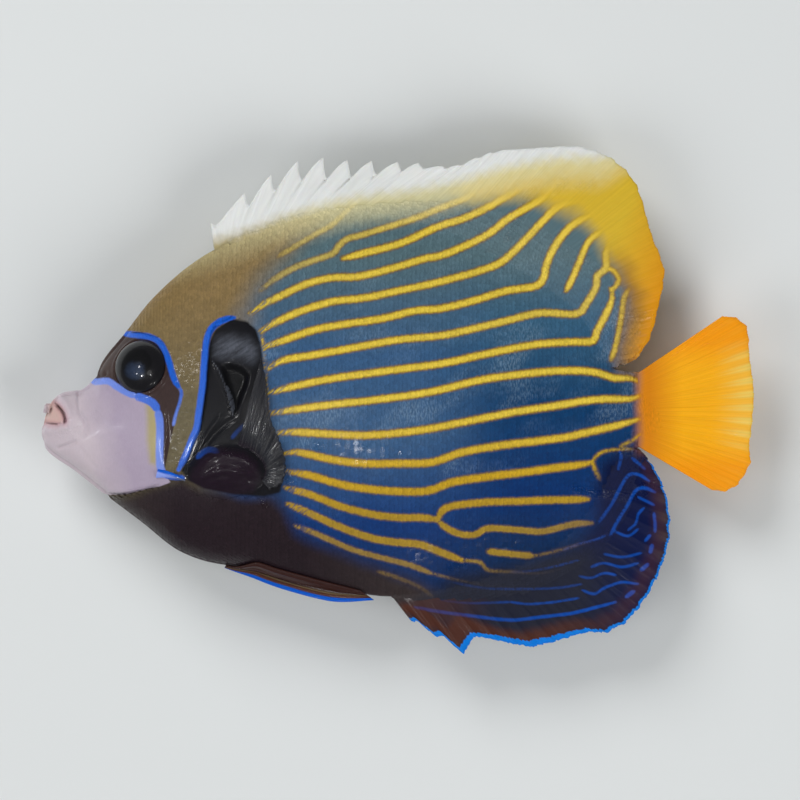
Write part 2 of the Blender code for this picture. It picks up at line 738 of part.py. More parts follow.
def nostril(x, y, side, collection):
    """A short pit straight into the skin."""
    out = skin_normal(x, y)
    out.z *= side
    skin = flank(x, y, side, 0)
    radii = (NOSTRIL_RADIUS, NOSTRIL_RADIUS)
    deep = out * NOSTRIL_DEPTH
    return rod("nostril", skin - deep, skin + deep, radii, collection)


def cheek_spine(side, collection):
    """The strong spine at the corner of the cheek, lying over the skin."""
    root = flank(*CHEEK_SPINE_ROOT, side, CHEEK_SPINE_RISE[0])
    tip = flank(*CHEEK_SPINE_TIP, side, CHEEK_SPINE_RISE[1])
    return rod("cheek_spine", root, tip, CHEEK_SPINE_RADII, collection)


def orbit(side, collection):
    """The raised rim of skin round an eye."""
    x, y = EYE_CENTRE
    out = skin_normal(x, y)
    out.z *= side
    turn = out.to_track_quat("Z", "Y").to_euler()
    major, minor = ORBIT_RADII
    around, across = ORBIT_SEGMENTS
    bpy.ops.mesh.primitive_torus_add(major_radius=major, minor_radius=minor,
                                     major_segments=around, minor_segments=across,
                                     location=flank(x, y, side, 0), rotation=turn)
    ring = bpy.context.active_object
    ring.data.transform(ring.matrix_world)
    ring.matrix_world = Matrix.Identity(4)
    for holder in list(ring.users_collection):
        holder.objects.unlink(ring)
    collection.objects.link(ring)
    return ring


def stations(start, end, count, crowding=1.0):
    """Lengths of the sections of one stretch, crowded towards its start."""
    return [start + (end - start) * (k / (count - 1)) ** crowding for k in range(count)]


def finish(piece):
    """Give a node its own material and smooth faces with sharp ridges."""
    kind = piece.name
    for ending in ("_left", "_right"):
        kind = kind.removesuffix(ending)
    paint = bpy.data.materials.new(piece.name)
    paint.use_nodes = True
    shader = paint.node_tree.nodes["Principled BSDF"]
    shader.inputs["Base Color"].default_value = (*COLOURS[kind], 1)
    shader.inputs["Roughness"].default_value = EYE_ROUGHNESS if kind == "eye" else SKIN_ROUGHNESS
    shader.inputs["Metallic"].default_value = 0.0
    piece.data.materials.clear()
    piece.data.materials.append(paint)
    piece.data.shade_smooth()
    piece.data.set_sharp_from_angle(angle=math.radians(SHARP_ANGLE))


def build():
    """Model the whole fish and set its origin under the middle of its bounding box."""
    for old in list(bpy.data.objects):
        bpy.data.objects.remove(old)
    fish = bpy.data.collections.new("emperor_angelfish")
    cutters = bpy.data.collections.new("cutters")
    for collection in (fish, cutters):
        bpy.context.scene.collection.children.link(collection)

    gap = GAP / UNIT
    head = loft("head", stations(SNOUT_X, HEAD_END, HEAD_STATIONS, HEAD_CROWDING), fish)
    raised = [roll("upper_lip", UPPER_LIP, UPPER_LIP_RADIUS, cutters)]
    raised.append(roll("lower_lip", LOWER_LIP, LOWER_LIP_RADIUS, cutters))
    hollows = [roll("lip_groove", LIP_GROOVE, GROOVE_RADIUS, cutters), mouth_slot(cutters)]
    hollows.append(floor_block(cutters))
    for side in (1, -1):
        raised.append(orbit(side, cutters))
        raised.append(cheek_spine(side, cutters))
        hollows.append(eye_ball("socket", side, cutters, grow=GAP))
        hollows.append(gill_plate("pocket", side, cutters, grow=gap))
        for x, y in NOSTRILS:
            hollows.append(nostril(x, y, side, cutters))
    combine(head, raised, "UNION")
    combine(head, hollows, "DIFFERENCE")

    torso = loft("torso", stations(HEAD_END + gap, STEM_START - gap, TORSO_STATIONS), fish)
    combine(torso, [lobe(side, cutters) for side in (1, -1)], "UNION")
    recess = pectoral_right("recess", cutters, grow=gap)
    combine(torso, [recess, floor_block(cutters)], "DIFFERENCE")
    stem = loft("tail_stem", stations(STEM_START, BODY_END, STEM_STATIONS), fish)

    cover_left = gill_plate("gill_cover_left", 1, fish)
    cover_right = gill_plate("gill_cover_right", -1, fish)
    combine(cover_right, [floor_block(cutters)], "DIFFERENCE")
    nodes = [head, torso, stem, cover_left, cover_right]
    nodes.append(eye_ball("eye_left", 1, fish))
    nodes.append(eye_ball("eye_right", -1, fish))
    nodes.append(dorsal_fin(fish))
    nodes.append(anal_fin(fish))
    nodes.append(tail_fin(fish))
    nodes.append(pectoral_left(fish))
    nodes.append(pectoral_right("pectoral_fin_right", fish))
    nodes.append(pelvic_fin("pelvic_fin_left", 1, fish))
    nodes.append(pelvic_fin("pelvic_fin_right", -1, fish))

    points = [vertex.co for node in nodes for vertex in node.data.vertices]
    middle_x = (min(p.x for p in points) + max(p.x for p in points)) / 2
    middle_y = (min(p.y for p in points) + max(p.y for p in points)) / 2
    for node in nodes:
        node.data.transform(Matrix.Translation((-middle_x, -middle_y, 0)))
        finish(node)


build()
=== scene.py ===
"""Emperor angelfish: the looks of a life-size model that lies on its right side.

Lists of places on the fish are in millimetres of its own plane, from the middle of the whole
fish: the head points to -X, the tail to +X and the back to +Y. Markings are listed in pixels
of the photograph's 800 x 800 frame, and seen() turns them into the same millimetres. Heights
above the fish's middle plane point to its left side, which faces up.
"""
import math

import bpy
import numpy as np
from mathutils import Matrix, Vector


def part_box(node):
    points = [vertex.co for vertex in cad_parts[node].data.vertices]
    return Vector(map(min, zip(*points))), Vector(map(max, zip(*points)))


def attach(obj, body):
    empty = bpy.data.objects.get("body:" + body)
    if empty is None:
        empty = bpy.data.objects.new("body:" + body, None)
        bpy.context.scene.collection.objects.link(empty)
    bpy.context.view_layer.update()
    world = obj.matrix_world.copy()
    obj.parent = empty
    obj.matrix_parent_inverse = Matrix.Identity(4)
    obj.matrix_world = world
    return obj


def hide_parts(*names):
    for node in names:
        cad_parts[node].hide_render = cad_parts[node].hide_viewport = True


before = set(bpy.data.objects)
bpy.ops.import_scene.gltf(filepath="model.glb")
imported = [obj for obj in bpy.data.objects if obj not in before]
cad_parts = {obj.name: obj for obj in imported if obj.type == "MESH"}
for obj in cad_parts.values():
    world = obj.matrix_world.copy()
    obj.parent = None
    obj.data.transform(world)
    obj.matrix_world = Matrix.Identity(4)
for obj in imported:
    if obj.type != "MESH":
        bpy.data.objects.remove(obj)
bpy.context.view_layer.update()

bl_info = {
    "name": "Emperor Angelfish",
    "version": (1, 0, 0),
    "blender": (4, 5, 0),
    "location": "3D Viewport > Sidebar > Angelfish",
    "description": "Builds the skin, scales, eyes and fins of an emperor angelfish",
    "category": "Add Mesh",
}

# The body's own sizes, as in the part's source.
UNIT = 0.001
BODY_THICKNESS = 25.2
FLAT_DEPTH = 0.6
MIDDLE = BODY_THICKNESS / 2 - FLAT_DEPTH
PIXEL = 0.211
VIEW_CENTRE = (398.5, 400.0)
VIEW_PIXELS = 800

BACK = [(-75.0, -5.2), (-74.7, -3.6), (-72.9, 0.2), (-70.2, 1.9), (-67.2, 2.3), (-65.5, 3.4),
        (-64.0, 5.1), (-62.6, 8.2), (-58.1, 13.9), (-52.4, 21.1), (-45.0, 27.9),
        (-39.4, 31.6), (-29.2, 36.3), (-16.6, 39.2), (-3.9, 39.7), (8.8, 36.7), (21.4, 30.4),
        (30.9, 24.7), (38.3, 18.6), (42.9, 11.2), (45.2, 7.2), (47.4, 6.2), (52.0, 6.1),
        (58.0, 6.1)]
BELLY = [(-75.0, -8.6), (-74.6, -10.2), (-73.1, -11.8), (-68.7, -14.8), (-62.6, -19.6),
         (-54.5, -25.7), (-46.1, -32.1), (-40.2, -34.3), (-31.3, -35.8), (-20.8, -38.6),
         (-10.2, -40.6), (-2.2, -41.6), (8.8, -40.5), (21.4, -36.9), (34.1, -30.6),
         (42.1, -21.1), (45.7, -13.7), (48.8, -10.5), (52.0, -10.1), (58.0, -10.1)]
HALF_WIDTH = [(-75.0, 1.0), (-74.6, 1.9), (-73.5, 3.0), (-70.5, 4.2), (-67.2, 5.2),
              (-60.9, 7.0), (-54.5, 8.8), (-46.1, 10.6), (-37.7, 12.0), (-27.1, 12.6),
              (-14.5, 12.4), (0.3, 11.0), (15.1, 8.8), (29.9, 6.2), (42.5, 4.0), (49.0, 2.6),
              (52.0, 2.0), (58.0, 1.0)]
KEEL = [(-75.0, 0.6), (-60.0, 0.8), (-40.0, 1.1), (50.0, 1.1), (58.0, 0.8)]
# Towards the fins the flanks thin out more gently than in the solids, into the fins' roots.
BACK_POWER = [(-75.0, 0.5), (-60.0, 0.55), (-45.0, 0.7), (-32.0, 1.0), (-15.0, 1.25),
              (40.0, 1.3), (52.0, 0.8)]
BELLY_POWER = [(-75.0, 0.5), (-50.0, 0.5), (-35.0, 0.6), (-15.0, 0.8), (0.0, 1.05),
               (12.0, 1.3), (40.0, 1.3), (52.0, 0.8)]
SECTION_POWER = 2.2
SECTION_SAG = 0.12
SNOUT_X = -75.0
SNOUT_ROUND = 0.3
BODY_END = 55.5
BODY_TAIL = 57.5
EDGE_ROUND = 1.0

# Eyes: BEHIND_IRIS is added to the distance from the pupil on a ball's hidden half.
EYE_CENTRE = (-54.4, 7.1)
EYE_RADIUS = 5.75
EYE_HALF_DEPTH = 3.2
EYE_SINK = 0.9
EYE_SEGMENTS = 72
BEHIND_IRIS = 9.0
# The fleshy lobe that carries each pectoral fin.
LOBE_CENTRE = (-35.6, -14.9)
LOBE_RADII = (8.8, 5.4, 1.8)
LOBE_POWER = 1.15

# Fins: tips of spines and margins of soft rays, and where each fin's root starts and ends.
SPINE_TIPS = [(-39.8, 37.6), (-32.4, 43.7), (-26.9, 47.5), (-21.2, 50.4), (-15.9, 51.1),
              (-10.7, 50.6), (-5.6, 50.4), (-0.1, 50.2), (4.3, 50.0), (9.3, 49.4), (12.6, 49.6),
              (16.4, 51.2), (19.3, 52.2), (22.5, 52.8)]
SPINE_NOTCHES = (2.2, 3.9, 4.3, 4.6, 4.6, 3.8, 3.0, 2.0, 1.2, 0.7, 0.5, 0.4, 0.3)
DORSAL_MARGIN = [(26.7, 53.0), (36.6, 53.6), (42.1, 52.5), (46.5, 50.0), (50.1, 45.8),
                 (51.8, 40.9), (53.5, 34.6), (56.2, 27.4), (55.0, 20.5), (53.9, 15.3),
                 (52.4, 11.6), (50.2, 9.0), (47.4, 7.8)]
DORSAL_BASE_X = (-39.3, 8.8, 45.0)
DORSAL_RAYS = 19
ANAL_SPINE_TIPS = [(2.8, -46.8), (8.1, -50.0), (13.8, -53.6)]
ANAL_NOTCHES = (1.0, 1.2)
ANAL_MARGIN = [(16.1, -49.8), (23.5, -51.3), (28.8, -52.1), (39.1, -49.2), (44.4, -49.0),
               (48.2, -46.8), (52.0, -42.0), (55.2, -36.1), (56.9, -30.8), (57.3, -25.3),
               (56.4, -19.6), (54.4, -15.0), (52.6, -12.4), (50.6, -10.9)]
ANAL_BASE_X = (-2.2, 5.2, 49.2)
ANAL_RAYS = 19
TAIL_MARGIN = [(68.3, 17.7), (71.2, 17.5), (73.7, 15.2), (74.0, 9.9), (74.8, 4.2), (75.0, 0.0),
               (74.6, -5.3), (74.0, -10.8), (74.3, -13.5), (71.2, -18.4), (68.9, -19.4),
               (66.1, -19.0)]
TAIL_ROOT = (5.7, -9.8)
TAIL_ROOT_X = 50.5
TAIL_RAYS = 17
FIN_WAVE = 0.8
WAVE_LENGTH = 60
NOTCH_PLACE = 0.22
SCALLOP = 0.14
# A soft ray branches twice: how far its branches part and over which share of its length.
FORK_SPREAD = 0.13
FORK_SHARE = (0.30, 0.7)
TWIG_SPREAD = 0.06
TWIG_SHARE = (0.62, 0.95)
RAY_STEPS = 12
LAID_RAY_STEPS = 8
FIN_ROOT_DEPTH = 1.2
PECTORAL_ARC = (85, -25)
PECTORAL_MARGIN = [(-28.8, 8.9), (-27.5, 3.2), (-26.9, -3.2), (-24.8, -8.4), (-23.5, -13.1),
                   (-24.2, -17.3), (-27.1, -18.8)]
PECTORAL_RAYS = 19
PELVIC_LOW = [(-36.6, -35.2), (-31.3, -37.3), (-25.0, -39.7), (-16.6, -42.0), (-11.9, -42.6),
              (-5.2, -42.2)]
PELVIC_HIGH = [(-35.3, -33.6), (-30.1, -34.0), (-25.0, -35.6), (-16.6, -37.9), (-8.1, -40.1)]
PELVIC_RAYS = 6
CHEEK_SPINE_ROOT = (-50.6, -15.4)
CHEEK_SPINE_TIP = (-44.7, -16.9)
CHEEK_SPINE_BOW = 0.44
CHEEK_SPINE_RADII = (1.05, 0.65)
# Bristle teeth: rows, bristles in each, and the widest angle of a row to the snout's line.
TOOTH_ROWS = 2
ROW_TEETH = 25
TOOTH_ANGLE = 62
TOOTH_SEED = 5
TOOTH_REACH = 2.1
TOOTH_ROW_STEP = 0.35
MOUTH = (-72.6, -0.75)

# Yellow stripes: points along the middle, full width in pixels, strength at start and end.
STRIPES = [
    ([(278, 257), (293, 248), (316, 234), (333, 224), (349, 208), (359, 199)], 7, 0.3, 0.6),
    ([(261, 291), (273, 281), (293, 269), (313, 261), (333, 254), (339, 246), (348, 239),
      (366, 234), (391, 226), (416, 218), (440, 208), (465, 198), (490, 181), (506, 170)],
     8, 0.35, 0.8),
    ([(343, 259), (366, 253), (399, 244), (424, 233), (440, 226), (465, 218), (490, 206),
      (515, 191), (533, 178)], 9, 1.0, 0.8),
    ([(251, 314), (266, 304), (286, 294), (308, 284), (333, 278), (358, 277), (391, 269),
      (424, 259), (440, 256), (465, 246), (490, 233), (506, 220), (523, 210), (543, 198),
      (559, 186)], 9, 0.7, 0.9),
    ([(261, 332), (280, 321), (303, 311), (333, 302), (366, 298), (399, 291), (432, 284),
      (473, 273), (498, 264), (511, 254), (526, 239), (543, 221), (559, 206), (581, 200)],
     9, 0.8, 0.8),
    ([(264, 348), (286, 340), (316, 330), (349, 324), (382, 319), (416, 311), (440, 309),
      (473, 301), (506, 291), (536, 286), (544, 277), (546, 266), (554, 248), (568, 229),
      (584, 218), (597, 213)], 9, 0.9, 0.8),
    ([(566, 291), (573, 277), (581, 258), (589, 241), (601, 231)], 8, 1.0, 0.7),
    ([(268, 369), (286, 360), (316, 355), (349, 349), (399, 340), (440, 336), (473, 329),
      (506, 321), (540, 313), (576, 314), (586, 304), (596, 287), (597, 276), (606, 268),
      (606, 253), (614, 236)], 9, 0.9, 0.6),
    ([(606, 268), (614, 271), (619, 281), (611, 291)], 6, 0.8, 0.8),
    ([(269, 393), (320, 381), (380, 372), (440, 364), (473, 357), (506, 350), (540, 344),
      (573, 342), (593, 341), (597, 331), (606, 314), (612, 299), (611, 289)], 9, 0.8, 0.9),
    ([(611, 360), (616, 345), (621, 319), (624, 299), (629, 289)], 7, 1.0, 0.6),
    ([(273, 413), (320, 406), (374, 400), (430, 392), (481, 380), (523, 374), (556, 371),
      (583, 371), (598, 373), (614, 378), (629, 378), (638, 381)], 9, 0.8, 1.0),
    ([(276, 433), (300, 432), (364, 435), (420, 430), (468, 421), (514, 412), (560, 405),
      (583, 401), (606, 399), (629, 399), (639, 396)], 9, 0.8, 1.0),
    ([(285, 453), (300, 452), (332, 459), (364, 463), (395, 463), (431, 462), (462, 452),
      (502, 445), (560, 438), (583, 433), (606, 428), (629, 422), (638, 419)], 9, 0.8, 1.0),
    ([(288, 471), (311, 475), (342, 484), (374, 489), (405, 491), (429, 490), (451, 482),
      (482, 477), (523, 472), (560, 467), (583, 464), (592, 462)], 9, 0.8, 1.0),
    ([(592, 462), (598, 454), (610, 450), (633, 449)], 4, 0.9, 0.5),
    ([(592, 462), (595, 470), (600, 480)], 5, 0.9, 0.3),
    ([(620, 446), (633, 440), (640, 434)], 4, 0.6, 0.7),
    ([(286, 487), (311, 494), (342, 506), (374, 514), (400, 517), (420, 517), (437, 519)],
     8, 0.8, 1.0),
    ([(437, 519), (447, 507), (482, 502), (515, 501), (543, 500), (588, 499)], 8, 1.0, 0.9),
    ([(437, 519), (447, 528), (462, 534), (476, 534), (488, 528), (523, 530), (543, 531),
      (574, 524), (592, 523)], 7, 1.0, 0.45),
    ([(488, 551), (513, 554), (533, 556)], 7, 0.9, 0.6),
    ([(533, 556), (553, 552), (574, 546), (594, 540), (612, 530)], 3, 0.5, 0.15),
    ([(288, 503), (311, 513), (342, 527), (374, 538), (400, 542), (420, 544), (441, 552),
      (462, 560)], 8, 0.75, 0.9),
    ([(462, 560), (480, 562), (488, 570), (513, 572), (543, 573), (570, 566)], 4, 0.6, 0.15),
    ([(296, 525), (321, 535), (353, 549), (385, 558), (411, 565), (431, 573)], 6, 0.6, 0.5),
    ([(431, 573), (462, 581), (492, 586), (543, 589)], 3, 0.4, 0.1),
    ([(378, 571), (397, 577), (420, 587), (433, 597)], 4, 0.3, 0.1),
    ([(262, 331), (265, 355), (267, 380), (268, 400), (269, 420), (273, 432), (281, 447)],
     4, 0.75, 0.35),
]
# Blue lines: points, full width, paleness at start and end; below zero they fade out.
HEAD_LINES = [
    ([(123, 333), (128, 334), (135, 335), (145, 336), (153, 338), (160, 342), (165, 349),
      (168, 356), (171, 364), (173, 372), (176, 380), (180, 387)], 6.5, 0.12, 0.0),
    ([(180, 387), (183, 393), (181, 403), (177, 415), (175, 425)], 3, 0.1, 0.6),
    ([(91, 380), (97, 382), (104, 381), (111, 382), (118, 387), (127, 392), (137, 396)],
     7, 0.9, 0.55),
    ([(137, 396), (146, 399), (154, 403), (159, 410)], 8.5, 0.3, 0.15),
    ([(159, 410), (161, 420), (161.5, 435), (161, 455), (162, 468), (166, 475)],
     8, 0.45, 0.8),
    ([(166, 475), (174, 477), (185, 477)], 5, 0.3, 0.15),
    ([(235, 318), (228, 319), (221, 322), (213, 328), (209, 336), (207, 345), (206, 358),
      (205, 370), (204, 385), (202, 400), (200, 415), (198, 428), (193, 440), (187, 455),
      (180, 469)], 7, 0.0, 0.2),
    ([(199, 457), (204, 452), (211, 449), (219, 451)], 6, -0.6, -0.9),
    ([(233, 438), (238, 432), (246, 424)], 4, -0.75, -0.85),
]
FIN_LINES = [
    ([(414, 607), (442, 612), (473, 616), (510, 620), (541, 617), (573, 613), (597, 607),
      (616, 602)], 4, -0.45, 0.0),
    ([(510, 602), (529, 604), (554, 602), (579, 598)], 2.6, -0.4, -0.15),
    ([(440, 600), (470, 603), (510, 602)], 2.4, -0.9, -0.5),
    ([(452, 582), (484, 588), (520, 589), (556, 588), (582, 584)], 2.4, -0.85, -0.5),
    ([(510, 572), (530, 571), (552, 567), (579, 560)], 2.4, -0.9, -0.5),
    ([(582, 590), (594, 594), (604, 588), (612, 585), (622, 582), (638, 584)], 3.2, -0.35, 0.0),
    ([(579, 576), (591, 578), (604, 573), (616, 575)], 2.8, -0.5, -0.1),
    ([(591, 567), (604, 563), (622, 567), (638, 563)], 3, -0.4, -0.1),
    ([(604, 554), (622, 557), (641, 553)], 3, -0.4, -0.1),
    ([(563, 550), (579, 544), (597, 539), (606, 535)], 2.4, -0.7, -0.4),
    ([(626, 597), (634, 591)], 5, 0.0, 0.0),
    ([(641, 570), (648, 564)], 5, 0.0, 0.0),
    ([(650, 553), (652, 545)], 5, 0.0, 0.0),
    ([(616, 532), (628, 536), (638, 529)], 2.6, -0.2, -0.1),
    ([(645, 541), (650, 535)], 4, -0.1, 0.0),
    ([(619, 451), (621, 457), (618, 470)], 3.4, -0.1, -0.3),
    ([(632, 458), (638, 463), (645, 469)], 3.6, -0.1, -0.2),
    ([(649, 481), (640, 475), (630, 474), (624, 481), (619, 490), (611, 505), (598, 523)],
     3.8, 0.0, -0.5),
    ([(655, 492), (645, 488), (636, 490), (628, 504), (617, 522), (610, 536)],
     4, 0.0, -0.3),
    ([(654, 505), (644, 500), (638, 497)], 3, 0.0, -0.1),
    ([(644, 508), (638, 514), (636, 523), (628, 530)], 3, -0.1, -0.2),
    ([(654, 513), (655, 523), (655, 532)], 3.6, 0.0, 0.0),
]
# Painted highlights along the pale wet edges of the skin flap in the hollow behind the gill
# cover, and at the gill line's lower end.
PAINTED_EDGE_HIGHLIGHTS = [
    ([(213, 361), (219, 369), (226, 385), (231, 402), (235, 419)], 1.6, 1.0, 1.0),
    ([(228, 386), (231, 394), (234, 402), (235, 410)], 2.6, 1.0, 1.0),
    ([(196, 441), (191, 449), (186, 457)], 2.0, 1.0, 1.0),
]
# The gape behind the upper lip: pink in its folds, and dark along its middle as painted shade.
GAPES_WITH_SHADE = [
    ([(55, 403), (58, 406), (61, 409), (64, 414), (65.5, 419), (65, 423)], 1.8, 1.0, 1.0),
    ([(58, 424), (50, 423.5), (43, 422)], 1.3, 1.0, 0.4),
]
# Places where drops and a film of water stand on the skin.
WET_PLACES = [
    ([(201, 434), (195, 446), (188, 455), (180, 463)], 11, 1.0, 1.0),
    ([(226, 452), (236, 452), (247, 455), (256, 460)], 8, 1.0, 1.0),
    ([(228, 386), (231, 398), (235, 412)], 5, 1.0, 1.0),
    ([(57, 430), (66, 434), (76, 432), (84, 426)], 12, 1.0, 0.6),
    ([(94, 412), (104, 422)], 8, 0.5, 0.5),
    ([(282, 468), (288, 476), (296, 486)], 8, 1.0, 1.0),
    ([(116, 497), (136, 495)], 4, 1.0, 1.0),
    ([(262, 500), (268, 506)], 6, 0.8, 0.8),
    ([(508, 242), (514, 228), (521, 214), (527, 200), (534, 189)], 10, 1.0, 1.0),
    ([(556, 191), (565, 180)], 9, 1.0, 1.0),
    ([(576, 186), (594, 184)], 8, 0.9, 0.9),
    ([(312, 446), (324, 445)], 7, 1.0, 1.0),
    ([(352, 448), (366, 448)], 7, 1.0, 1.0),
    ([(594, 341), (606, 330), (622, 322), (640, 318), (656, 313)], 12, 1.0, 0.8),
    ([(600, 352), (618, 340), (638, 330)], 8, 0.8, 0.8),
    ([(573, 488), (590, 493), (610, 494), (632, 497), (648, 490)], 7, 1.0, 1.0),
    ([(612, 452), (622, 450), (632, 452)], 6, 1.0, 1.0),
    ([(640, 487), (655, 484), (669, 482)], 7, 1.0, 1.0),
    ([(450, 568), (461, 563), (472, 558)], 6, 1.0, 1.0),
    ([(590, 415), (602, 421), (614, 424)], 8, 0.8, 0.8),
    ([(629, 437), (637, 434)], 6, 1.0, 1.0),
]
STRIPE_SHARE = 0.90
LINE_SHARE = 0.92
FIN_LINE_SHARE = 0.72
# Closed outlines of the head's zones and of the fins' colours, in pixels.
ZONES = {
    "mask": [(119, 331), (130, 332), (145, 338), (158, 343), (166, 355), (172, 372), (178, 386),
             (182, 394), (180, 408), (176, 424), (171, 445), (166, 470), (163, 468), (165, 440),
             (163, 415), (158, 405), (146, 399), (128, 393), (113, 384), (98, 381), (88, 382),
             (78, 372), (100, 340)],
    "face": [(84, 382), (100, 382), (113, 383), (128, 392), (146, 399), (157, 407), (162, 420),
             (162, 440), (161, 465), (166, 474), (172, 482), (161, 486), (150, 488), (126, 494),
             (102, 495), (70, 480), (36, 460), (32, 400), (55, 384)],
    "olive": [(148, 402), (156, 408), (159, 425), (159, 445), (157, 464), (152, 462), (149, 440),
              (149, 420)],
    "band": [(232, 319), (248, 322), (257, 330), (262, 345), (264, 362), (265, 380), (266, 400),
             (268, 420), (276, 437), (284, 455), (285, 475), (281, 492), (265, 496), (235, 494),
             (205, 488), (189, 480), (183, 470), (190, 455), (197, 440), (201, 425), (204, 405),
             (206, 385), (208, 360), (210, 344), (216, 330)],
    "hollow": [(221, 365), (232, 363), (243, 367), (251, 374), (249, 386), (244, 398), (239, 411),
               (235, 414), (230, 399), (225, 383)],
    "sheen": [(212, 345), (220, 336), (235, 334), (250, 337), (259, 345), (260, 358), (254, 366),
              (240, 360), (224, 360), (214, 358)],
    "lobe": [(198, 462), (207, 452), (222, 448), (245, 451), (258, 462), (262, 478), (254, 492),
             (225, 498), (200, 492), (190, 478)],
    "chest": [(102, 494), (126, 495), (150, 490), (166, 485), (182, 478), (205, 488), (240, 496),
              (272, 494), (285, 510), (298, 532), (320, 546), (345, 556), (375, 568), (405, 580),
              (430, 594), (465, 622), (380, 640), (200, 640), (60, 520)],
    "tooth": [(40, 401), (52, 400), (57, 404), (61, 408), (64, 414), (65, 420), (60, 423),
              (50, 423), (36, 422)],
    "gold": [(455, 190), (480, 172), (510, 160), (560, 148), (620, 150), (690, 200), (690, 380),
             (622, 368), (622, 345), (626, 318), (630, 292), (620, 272), (608, 254), (592, 232),
             (572, 213), (546, 202), (515, 194), (484, 199)],
    "anal": [(395, 606), (430, 590), (450, 572), (486, 566), (530, 556), (572, 541), (590, 522),
             (592, 490), (598, 460), (614, 449), (640, 443), (700, 440), (720, 620), (480, 700),
             (380, 640)],
}
# The lower edge of the dorsal fin's white and the rear edge of the head's olive, in pixels.
FRINGE = [(180, 250), (240, 233), (280, 218), (320, 206), (360, 197), (400, 192), (440, 186),
          (480, 175), (520, 165), (570, 158), (598, 158), (614, 152), (660, 120)]
OLIVE_REACH = [(150, 372), (215, 330), (240, 300), (270, 268), (300, 250), (330, 240),
               (470, 215), (600, 200)]

# Relief of the skin, in pixels: folds, grooves and rims with depth and width in millimetres.
FOLDS = [
    ([(55, 403), (58, 406), (61, 409), (64, 414), (65.5, 419), (65, 424)], -1.5, 0.30),
    ([(40, 423), (44, 422.5), (50, 423), (57, 424), (63, 423.5)], -0.45, 0.30),
    ([(58, 396), (63, 400), (68, 406), (71, 413), (71, 420)], 0.40, 0.75),
    ([(44, 428), (50, 431), (57, 431), (64, 428), (69, 424)], 0.38, 0.90),
    ([(79, 389), (78.5, 397), (79, 406), (81, 414), (86, 421), (88, 428), (84, 438)],
     -0.32, 0.40),
    ([(56, 449), (62, 447), (70, 444), (78, 441)], -0.30, 0.40),
    ([(102, 496), (114, 495.5), (126, 494.5), (150, 489), (163, 485)], -0.50, 0.45),
    ([(104, 491), (126, 490.5), (148, 485)], 0.22, 0.80),
    ([(166, 410), (167, 430), (166, 452), (167, 470)], -0.16, 0.50),
    ([(213, 361), (219, 368), (226, 385), (231, 402), (235, 419)], 0.30, 0.28),
    ([(197, 455), (204, 441), (212, 428), (224, 414)], 0.24, 0.35),
    ([(205, 447), (214, 436), (226, 425), (240, 416)], -0.30, 0.50),
    ([(98, 470), (88, 458), (80, 446)], -0.10, 0.50),
    ([(203, 464), (214, 457), (230, 454), (248, 459), (262, 472)], 0.40, 0.60),
    ([(205, 472), (222, 464), (240, 466), (256, 477)], -0.35, 0.35),
    ([(206, 480), (226, 474), (248, 480)], -0.25, 0.30),
    ([(212, 488), (232, 484), (250, 487)], -0.20, 0.30),
]
NOSTRILS = [(98, 377), (104, 373)]
NOSTRIL_SIZE = (0.55, 0.9)
# The eye's socket and the rim round it: depth and edge, height, radius and width.
SOCKET_DEPTH = 1.7
SOCKET_EDGE = (4.4, 5.5)
RIM_HEIGHT = 0.38
RIM_RADIUS = 6.0
RIM_WIDTH = 0.42
# The free edge of the gill cover, as heights and lengths, and how it stands over the skin
# behind it: its flanks rise to the edge, drop off it and run out again.
GILL_X = [(-40.0, -47.0), (-20.0, -46.9), (-14.6, -46.1), (-11.6, -44.7), (-8.4, -43.5),
          (-5.9, -42.4), (-3.2, -41.9), (0.0, -41.4), (3.2, -41.0), (6.3, -40.8), (8.9, -40.6),
          (11.6, -40.4), (13.5, -40.1), (16.0, -39.4), (20.0, -38.6), (36.0, -38.0)]
GILL_STATION = -41.4
GILL_ENDS = ((-17.0, -12.5), (11.5, 17.5))
GILL_RISE = 0.5
GILL_RISE_X = ((-6.0, 0.3), (0.55, 0.8))
GILL_DROP = 0.75
GILL_DROP_X = ((0.6, 0.85), (0.9, 9.0))
HOLLOW_DEPTH = 1.1
HOLLOW_EDGE = (-0.2, 1.2)

# Steps round a section of the skin, round its keels and over the snout; welding in metres.
SECTION_STEPS = 126
CAP_STEPS = 8
SNOUT_STEPS = 6
WELD = 1e-7
# Both sides of the fish; each side's scales are two pieces that part at one length.
SIDES = (("left", 1), ("right", -1))
COAT_SPLIT_X = 2.0
COAT_SEED = 7
HEAD_COAT_X = (-66.0, -26.0)
FLANK_COAT_X = (-44.0, 49.6)
# Head scales: up to the gill cover's edge above the throat, and on nape and chest. The gill
# opening is bare over GILL_GAP, its half width and half height.
GILL_MARGIN = 0.8
THROAT_Y = -15.5
NAPE_CORNER = (-36.0, 14.0)
CHEST_X = -38.0
GILL_GAP = (0.9, 15.0)
# Skin without scales: zones with the margin round each, and round the eye's centre.
BARE_ZONES = {"mask": 0.5, "face": 0.4, "lobe": 0.6, "band": 0.5}
BARE_ROUND_EYE = 7.2
# A scale's plate beside its shown length and width: it lies under its neighbours.
SCALE_OVERLAP = (1.45, 1.2)
# How far scales stand up on the head and the fins beside those of the flank.
HEAD_SCALE_LIFT = 0.72
FIN_SCALE_LIFT = 0.8
# How far from its root each fin has scales: ray numbers and reaches along them.
DORSAL_COVER = ((0.0, 6.0, 13.0, 18.0, 28.0, 33.0), (1.0, 3.0, 7.0, 11.0, 12.0, 5.0))
ANAL_COVER = ((0.0, 3.0, 8.0, 16.0, 21.0), (1.5, 3.0, 7.0, 8.0, 5.0))
# The wet layer over skin and fins, and the shine of what lies under it.
COAT_ROUGHNESS = 0.12
COAT_IOR = 1.34
SPECULAR_LEVEL = 0.22


